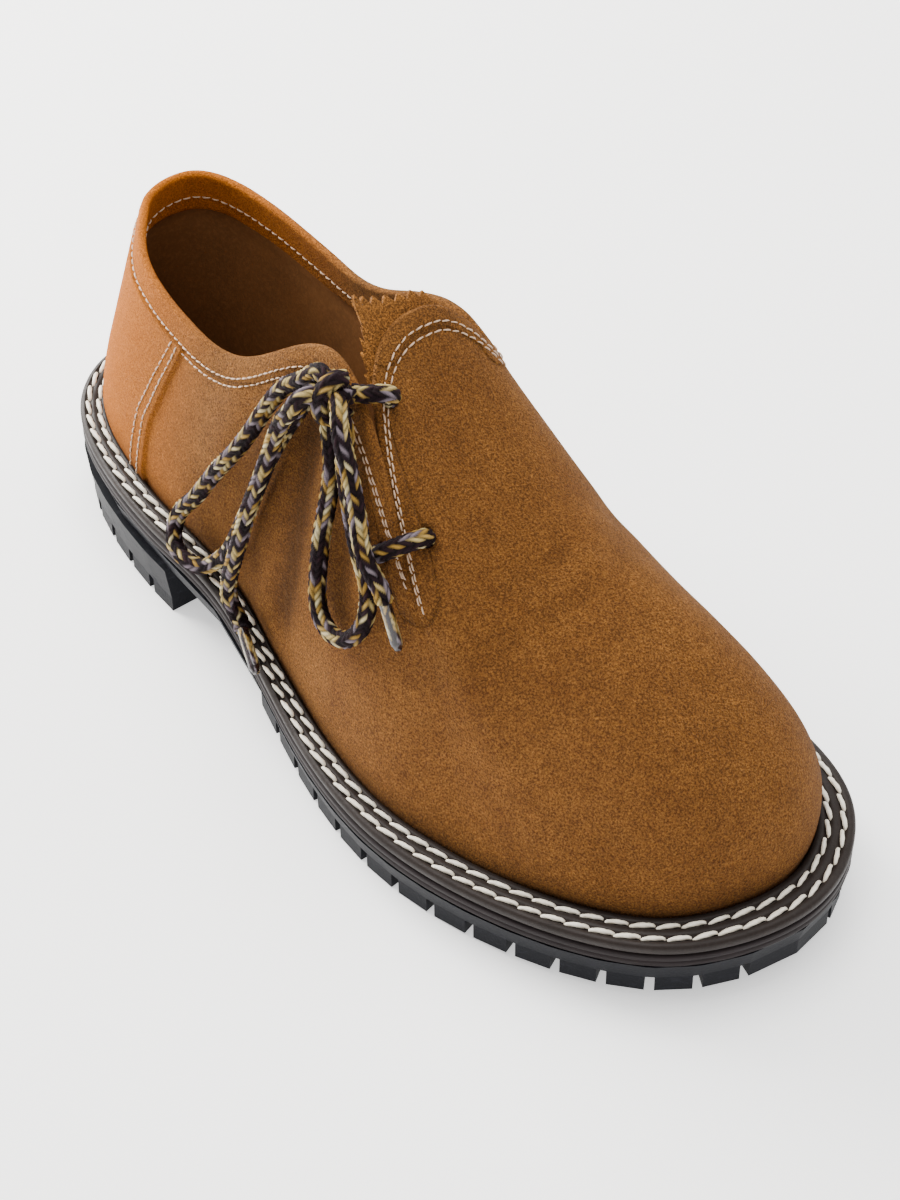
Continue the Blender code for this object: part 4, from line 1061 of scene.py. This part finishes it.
class SHOE_OT_stage(bpy.types.Operator):
    """Floor, studio lights and the camera"""
    bl_idname = "shoe.stage"
    bl_label = "Stage"

    def execute(self, context):
        scene = context.scene
        data = bpy.data.cameras.new("camera")
        data.sensor_fit = "VERTICAL"
        data.sensor_height = 36
        data.lens = 86.88
        data.clip_end = 60
        camera = bpy.data.objects.new("camera", data)
        scene.collection.objects.link(camera)
        camera.matrix_world = Matrix((
            (0.6208813, -0.5451355, 0.5633238, 0.47932), (0.7838831, 0.4370773, -0.441011, -0.36418),
            (-0.0058053, 0.7153955, 0.6986957, 0.61904), (0, 0, 0, 1)))
        scene.camera = camera
        floor = mesh_piece("floor", [(-30, -30, 0), (30, -30, 0), (30, 30, 0), (-30, 30, 0)], [(0, 1, 2, 3)], [])
        paper, _, shader = start("matte_paper_backdrop", 0.9)
        shader.inputs["Base Color"].default_value = (0.96, 0.96, 0.955, 1)
        shader.inputs["Emission Color"].default_value = (1, 1, 1, 1)
        shader.inputs["Emission Strength"].default_value = 0.7
        floor.data.materials.append(paper)
        world = bpy.data.worlds.new("studio")
        world.use_nodes = True
        sky = world.node_tree.nodes["Background"]
        sky.inputs[0].default_value = (1.0, 0.99, 0.98, 1)
        sky.inputs[1].default_value = 0.9
        scene.world = world
        for name, place, aim, size, power, tone in (
                ("softbox_top", (-0.35, 0.1, 1.5), (0.0, 0.0, 0.0), 1.3, 38, (1.0, 0.99, 0.97)),
                ("softbox_heel", (-1.3, -0.22, 0.6), (-0.1, 0.0, 0.05), 0.9, 60, (1.0, 0.98, 0.95)),
                ("softbox_inner", (0.4, 1.1, 0.9), (0.05, 0.0, 0.05), 0.9, 5, (0.97, 0.98, 1.0))):
            lamp = bpy.data.lights.new(name, "AREA")
            lamp.size = size
            lamp.energy = power
            lamp.color = tone
            holder = bpy.data.objects.new(name, lamp)
            holder.location = place
            holder.rotation_euler = (Vector(aim) - Vector(place)).to_track_quat("-Z", "Y").to_euler()
            scene.collection.objects.link(holder)
        return {"FINISHED"}


class SHOE_OT_sole(bpy.types.Operator):
    """Rubber sole and heel, midsole edge and the welt with its stitch channels"""
    bl_idname = "shoe.sole"
    bl_label = "Sole and welt"

    def execute(self, context):
        tone = colours()
        rubber = moulded_rubber("nitrile_rubber_moulded", tuple(tone.rubber))
        for node in ("outsole", "heel_block"):
            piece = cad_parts[node]
            piece.data.materials.clear()
            piece.data.materials.append(rubber)
        board = layered_edge("leather_board_edge_dyed", tuple(tone.board))
        mid = MIDSOLE_THICKNESS
        edge = band_round("midsole_edge", (
            (0.0012, 0.0001), (0.0004, 0.0003), (0.0001, 0.0009), (0.0001, 0.0024), (0.0003, 0.0026), (0.0001, 0.0028),
            (0.0001, mid - 0.0009), (0.0004, mid - 0.0003), (0.0012, mid - 0.0001),
            (0.016, mid - 0.0001), (0.016, 0.0001)), board)
        dress(edge, "midsole")
        leather = smooth_leather("welt_leather_waxed", tuple(tone.welt), 0.48, 0.03, 0.8, 0.4, 0.5)
        top = mid + WELT_THICKNESS

        def share(part, more=0.0):
            return lambda stations: margin(stations) * part + more
        profile = [
            (0.0014, mid + 0.0002), (0.0003, mid + 0.0005), (0.0, mid + 0.0012), (0.0, mid + 0.0024),
            (0.0003, mid + 0.0031), (0.0009, top - 0.0001), (0.0014, top)]
        for centre in WELT_ROWS:
            profile += [(share(centre, off), top - deep) for off, deep in STITCH_CHANNEL]
        profile += [(share(1.0, -0.0005), top - 0.00005), (share(1.0, -0.0001), top - 0.0006),
                    (share(1.0, -0.0001), mid + 0.0002)]
        welt = band_round("welt_leather", profile, leather)
        dress(welt, "welt")
        return {"FINISHED"}


class SHOE_OT_upper(bpy.types.Operator):
    """Suede upper with its turned topline, counter, facing, lining and eyelet holes"""
    bl_idname = "shoe.upper"
    bl_label = "Upper"

    def execute(self, context):
        tone = colours()
        outside = suede("suede_brushed", tuple(tone.suede), tuple(tone.nap), tuple(tone.shade))
        lining = smooth_leather("lining_leather_natural", tuple(tone.lining), 0.6, 0.05, 1.2, 0.3, 0.5)
        facing = suede("suede_facing", tuple(tone.suede), tuple(tone.nap), tuple(tone.shade), False)
        verts, faces, loop, station = fine_upper()
        normals = point_normals(verts, faces)
        core = verts.mean(0)
        if ((verts - core)[:, :2] * normals[:, :2]).sum() < 0:
            normals = -normals
        edge = near_line(verts, opening_line())
        foot = near_line(verts, feather(np.linspace(-10, 10, 400)))
        folds = fold_depth(verts)
        rise = np.where(np.abs(station) < 5, counter_rise(station, edge), 0.0)
        outer = skin(verts, normals, edge, rise)
        outer = outer + normals * (-0.0005 * ease(0.0022, 0.0, foot))[:, None]
        inner = verts - normals * (WALL - 0.0003 * ease(12.6, 13.4, edge * 1000))[:, None]
        inner = inner - normals * np.where(edge < 0.0128, 0.0003, 0.0)[:, None]
        inner = inner - normals * (folds * 0.5)[:, None]
        middle = np.array([edge[list(f)].mean() for f in faces])
        inner_slot = np.where(middle < FACING / 1000, 2, 1)
        upper = shell("upper_suede", verts, faces, loop, outer, inner, [outside, lining, facing], inner_slot,
                      {"edge_mm": turned_edge(verts) * 1000, "foot_mm": foot * 1000, "fold": folds * 1000})
        punches = []
        for name, kind, where, at in HOLES:
            p, out = section_normals("quarter" if kind == "quarter" else "outer", where, at)
            axis = Vector(out[0])
            ring = []
            side = axis.orthogonal().normalized()
            other = axis.cross(side)
            for level in (-PUNCH_REACH, PUNCH_REACH):
                for i in range(HOLE_SIDES):
                    a = i / HOLE_SIDES * 2 * math.pi
                    q = Vector(p[0]) + axis * level + (side * math.cos(a) + other * math.sin(a)) * HOLE_DIAMETER / 2
                    ring.append(tuple(q))
            n = HOLE_SIDES
            quads = [(i, (i + 1) % n, n + (i + 1) % n, n + i) for i in range(n)]
            quads += [tuple(range(n - 1, -1, -1)), tuple(range(n, 2 * n))]
            punch = mesh_piece("punch", placed(ring), quads, [outside])
            turn_out(punch)
            cut = upper.modifiers.new(name, "BOOLEAN")
            cut.operation = "DIFFERENCE"
            cut.solver = "EXACT"
            cut.object = punch
            punches.append(punch)
        whole = bpy.data.meshes.new_from_object(upper.evaluated_get(context.evaluated_depsgraph_get()))
        upper.modifiers.clear()
        upper.data = whole
        for punch in punches:
            bpy.data.objects.remove(punch)
        dress(upper, "upper")
        return {"FINISHED"}


class SHOE_OT_tongue(bpy.types.Operator):
    """Tongue with its pinked free edge"""
    bl_idname = "shoe.tongue"
    bl_label = "Tongue"

    def execute(self, context):
        tone = colours()
        paler = [[c * 1.35 for c in one] for one in (tone.suede, tone.nap)]
        cloth = suede("suede_tongue", *paler, tuple(tone.shade), False)
        teeth = sizes().teeth
        spots = []
        for side, low, high, share_of in ((-1, 0.34, 1.0, 0.68), (1, 0.62, 1.0, 0.32)):
            count = int(round(teeth * share_of)) * 4 + 1
            run = np.linspace(low, high, count)
            if side > 0:
                run = run[::-1][1:]
            spots += [(side, t) for t in run]
        levels = np.concatenate([np.linspace(0, 0.12, 6), np.linspace(0.16, 1, 22)])
        verts, faces, grid = [], [], []
        for i, (side, at) in enumerate(spots):
            across = i / (len(spots) - 1)
            begin = float(np.interp(across, [a for a, _ in TONGUE_TOP], [b for _, b in TONGUE_TOP]))
            begin += 0.026 * (abs((i % 4) - 2) - 1) + 0.010 * math.sin(across * 23)
            row = begin + (TONGUE_FRONT - begin) * levels
            count = len(levels)
            p = vamp(side, row, np.full(count, at))
            if side < 0:
                p[:, 1] += TONGUE_TUCK * (1 - ease(0.70, 0.90, at)) * (1 - ease(0.1, 0.7, row))
            curl = ease(0.0, -0.35, row) * 0.0016 * math.sin(across * 15 + 0.6)
            p[:, 2] += curl
            grid.append(list(range(len(verts), len(verts) + count)))
            verts += list(p)
        for a, b in zip(grid, grid[1:]):
            faces += [(a[j], b[j], b[j + 1], a[j + 1]) for j in range(len(levels) - 1)]
        verts = np.array(verts)
        normals = point_normals(verts, faces)
        if normals[:, 2].sum() < 0:
            normals = -normals
        deep = WALL + TONGUE_GAP + 0.0002
        outer = verts - normals * deep
        inner = verts - normals * (deep + TONGUE_WALL - 0.0002)
        tongue = shell("tongue_suede", verts, faces, [], outer, inner, [cloth], [0] * len(faces), {})
        dress(tongue, "tongue")
        return {"FINISHED"}


class SHOE_OT_insole(bpy.types.Operator):
    """Insole leather on the CAD insole"""
    bl_idname = "shoe.insole"
    bl_label = "Insole"

    def execute(self, context):
        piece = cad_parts["insole"]
        piece.data.materials.clear()
        piece.data.materials.append(smooth_leather("insole_leather", tuple(colours().insole), 0.55, 0.1, 1.0, 0.3, 0.4))
        return {"FINISHED"}


class SHOE_OT_stitching(bpy.types.Operator):
    """Double welt stitching and the fine rows in the suede"""
    bl_idname = "shoe.stitching"
    bl_label = "Stitching"

    def execute(self, context):
        size = sizes()
        thread = waxed_thread("linen_thread_waxed", tuple(colours().thread))
        tree = stitch_tree()
        thick = thread_mesh("stitch_thick", size.sole_stitch * 0.99, size.sole_thread, 12, 9, 3, 0.0007)
        fine = thread_mesh("stitch_fine", size.stitch * 0.80, size.thread, 6, 6, 2, 0.00025)
        stations = np.linspace(-10, 10, 900, endpoint=False)
        height = welt_top(outline(stations, 0.004)[:, 0])
        up = np.tile((0.0, 0.0, 1.0), (900, 1))
        rows = []
        for part in WELT_ROWS:
            flat = outline(stations, margin(stations) * part)
            rows.append((np.column_stack([flat, height - 0.0001]), up, True))
        welt = sew("welt_stitches", rows, thick, tree, size.sole_stitch, 0.16, 0.05, thread)
        lines = [collar_line(mm) for mm in COLLAR_ROWS]
        lines += [collar_line(8.0, -6.0, 5.6, 240, -1.0)]
        lines += [throat_line(mm) for mm in THROAT_ROWS]
        lines += [seam_line(sign, mm) for sign in (-1, 1) for mm in (1.7, 4.1)]
        silk = waxed_thread("polyester_thread", tuple(colours().fine))
        suede_rows = sew("upper_stitches", lines, fine, tree, size.stitch, 0.05, 0.12, silk)
        for piece, node in ((welt, "welt"), (suede_rows, "upper")):
            dress(piece, node, False)
        bpy.data.objects.remove(thick)
        bpy.data.objects.remove(fine)
        return {"FINISHED"}


class SHOE_OT_lace(bpy.types.Operator):
    """Braided lace: two bars through the holes, the knot, two loops, two ends and their sleeves"""
    bl_idname = "shoe.lace"
    bl_label = "Lace"

    def execute(self, context):
        size = sizes()
        cordage = braided("polyester_braid", 0.0)
        sleeve = braided("shrunk_clear_sleeve", 0.85)
        wide, step = size.lace, size.braid

        def route(points):
            return np.array(points) / 1000
        knot_low, knot_high = route(KNOT_ROUTE)[-1], route(KNOT_ROUTE)[0]
        centre = (knot_low + knot_high) / 2
        up = (knot_high - knot_low) / np.linalg.norm(knot_high - knot_low)
        out = np.array([-0.10, -1.0, 0.1])
        out -= up * out.dot(up)
        out /= np.linalg.norm(out)
        over = np.cross(up, out)
        wrap = np.array([centre + up * a / 1000 + out * b / 1000 + over * c / 1000 for a, b, c in KNOT_WRAP])
        heart = []
        for a, b, rise in ((2.9, -0.9, 0.8), (-2.4, -0.7, -0.8)):
            heart.append(np.array([
                centre + up * (a + rise * t) / 1000 + out * (b - 0.6 * t * t) / 1000 + over * 5.6 * t / 1000
                for t in np.linspace(-1, 1, 7)]))
        parts = [braid_tube(braid_path(wrap), wide * 1.06, step, shift=0.3)]
        parts += [braid_tube(braid_path(h), wide * 0.98, step, shift=0.6) for h in heart]
        knot = braid_piece("lace_knot_braid", parts, cordage)
        dress(knot, "lace_knot")
        sleeves = {}
        for name, run in (("aglet_back", AGLET_BACK), ("aglet_front", AGLET_FRONT)):
            line = route(run)
            path = line[0] + (line[1] - line[0]) * np.linspace(0, 1, 40)[:, None]
            tube = braid_tube(path, AGLET_DIAMETER, step * 0.9, 24, 0.03, 0.2, 0.0022)
            piece = braid_piece(name + "_sleeve", [tube], sleeve)
            dress(piece, name)
            sleeves[name] = piece
        for name, run, end, extra, phase in (
                ("lace_loop_back", LOOP_BACK_ROUTE, "object", [knot], 0.1),
                ("lace_loop_front", LOOP_FRONT_ROUTE, "object", [], 0.5),
                ("lace_end_back", END_BACK_ROUTE, "fitting", [sleeves["aglet_back"]], 0.8),
                ("lace_end_front", END_FRONT_ROUTE, "fitting", [sleeves["aglet_front"]], 0.35)):
            path = braid_path(route(run))
            piece = braid_piece(name + "_braid", [braid_tube(path, wide, step, shift=phase)], cordage)
            dress(piece, name)
        for name, path in self.bars():
            tube = braid_tube(braid_path(path, 0.0004), wide, step, shift=0.4)
            piece = braid_piece(name + "_braid", [tube], cordage)
            dress(piece, name)
        return {"FINISHED"}

    def bars(self):
        """Centre lines of the bars, straight out of their holes and turning with the lace's own bend."""
        seats = {}
        for name, kind, where, at in HOLES:
            p, out = section_normals("quarter" if kind == "quarter" else "outer", where, at)
            seats[name] = (placed(p)[0], out[0])

        def rise(hole, other):
            p, out = seats[hole]
            ahead = other - p
            ahead = ahead - out * ahead.dot(out)
            ahead = ahead / np.linalg.norm(ahead)
            turned = [p + out * (BAR_LEG + BAR_BEND * math.sin(a)) + ahead * BAR_BEND * (1 - math.cos(a))
                      for a in np.radians((30, 60, 90))]
            return [p - out * BAR_DEPTH, p + out * BAR_LEG] + turned
        low = rise("quarter low", seats["vamp low"][0]) + rise("vamp low", seats["quarter low"][0])[::-1]
        side = [np.array(q) / 1000 for q in TOP_BAR_END]
        top = rise("vamp top", side[0]) + side
        return (("lace_bar_low", low), ("lace_bar_top", top))


class SHOE_PT_panel(bpy.types.Panel):
    """Lists the pieces, sizes and colours"""
    bl_label = "Shoe"
    bl_idname = "SHOE_PT_panel"
    bl_space_type = "VIEW_3D"
    bl_region_type = "UI"
    bl_category = "Shoe"

    def draw(self, context):
        for step in STEPS:
            self.layout.operator(step.bl_idname)
        for group in (context.scene.shoe_sizes, context.scene.shoe_colours):
            for key in group.__annotations__:
                self.layout.prop(group, key)


STEPS = (SHOE_OT_stage, SHOE_OT_lace, SHOE_OT_sole, SHOE_OT_upper, SHOE_OT_tongue, SHOE_OT_insole, SHOE_OT_stitching)
CLASSES = (ShoeSizes, ShoeColours) + STEPS + (SHOE_PT_panel,)


def register():
    for one in CLASSES:
        bpy.utils.register_class(one)
    bpy.types.Scene.shoe_sizes = PointerProperty(type=ShoeSizes)
    bpy.types.Scene.shoe_colours = PointerProperty(type=ShoeColours)


def unregister():
    del bpy.types.Scene.shoe_colours
    del bpy.types.Scene.shoe_sizes
    for one in reversed(CLASSES):
        bpy.utils.unregister_class(one)


def main():
    register()
    for step in STEPS:
        group, name = step.bl_idname.split(".")
        getattr(getattr(bpy.ops, group), name)()


if __name__ == "__main__":
    main()
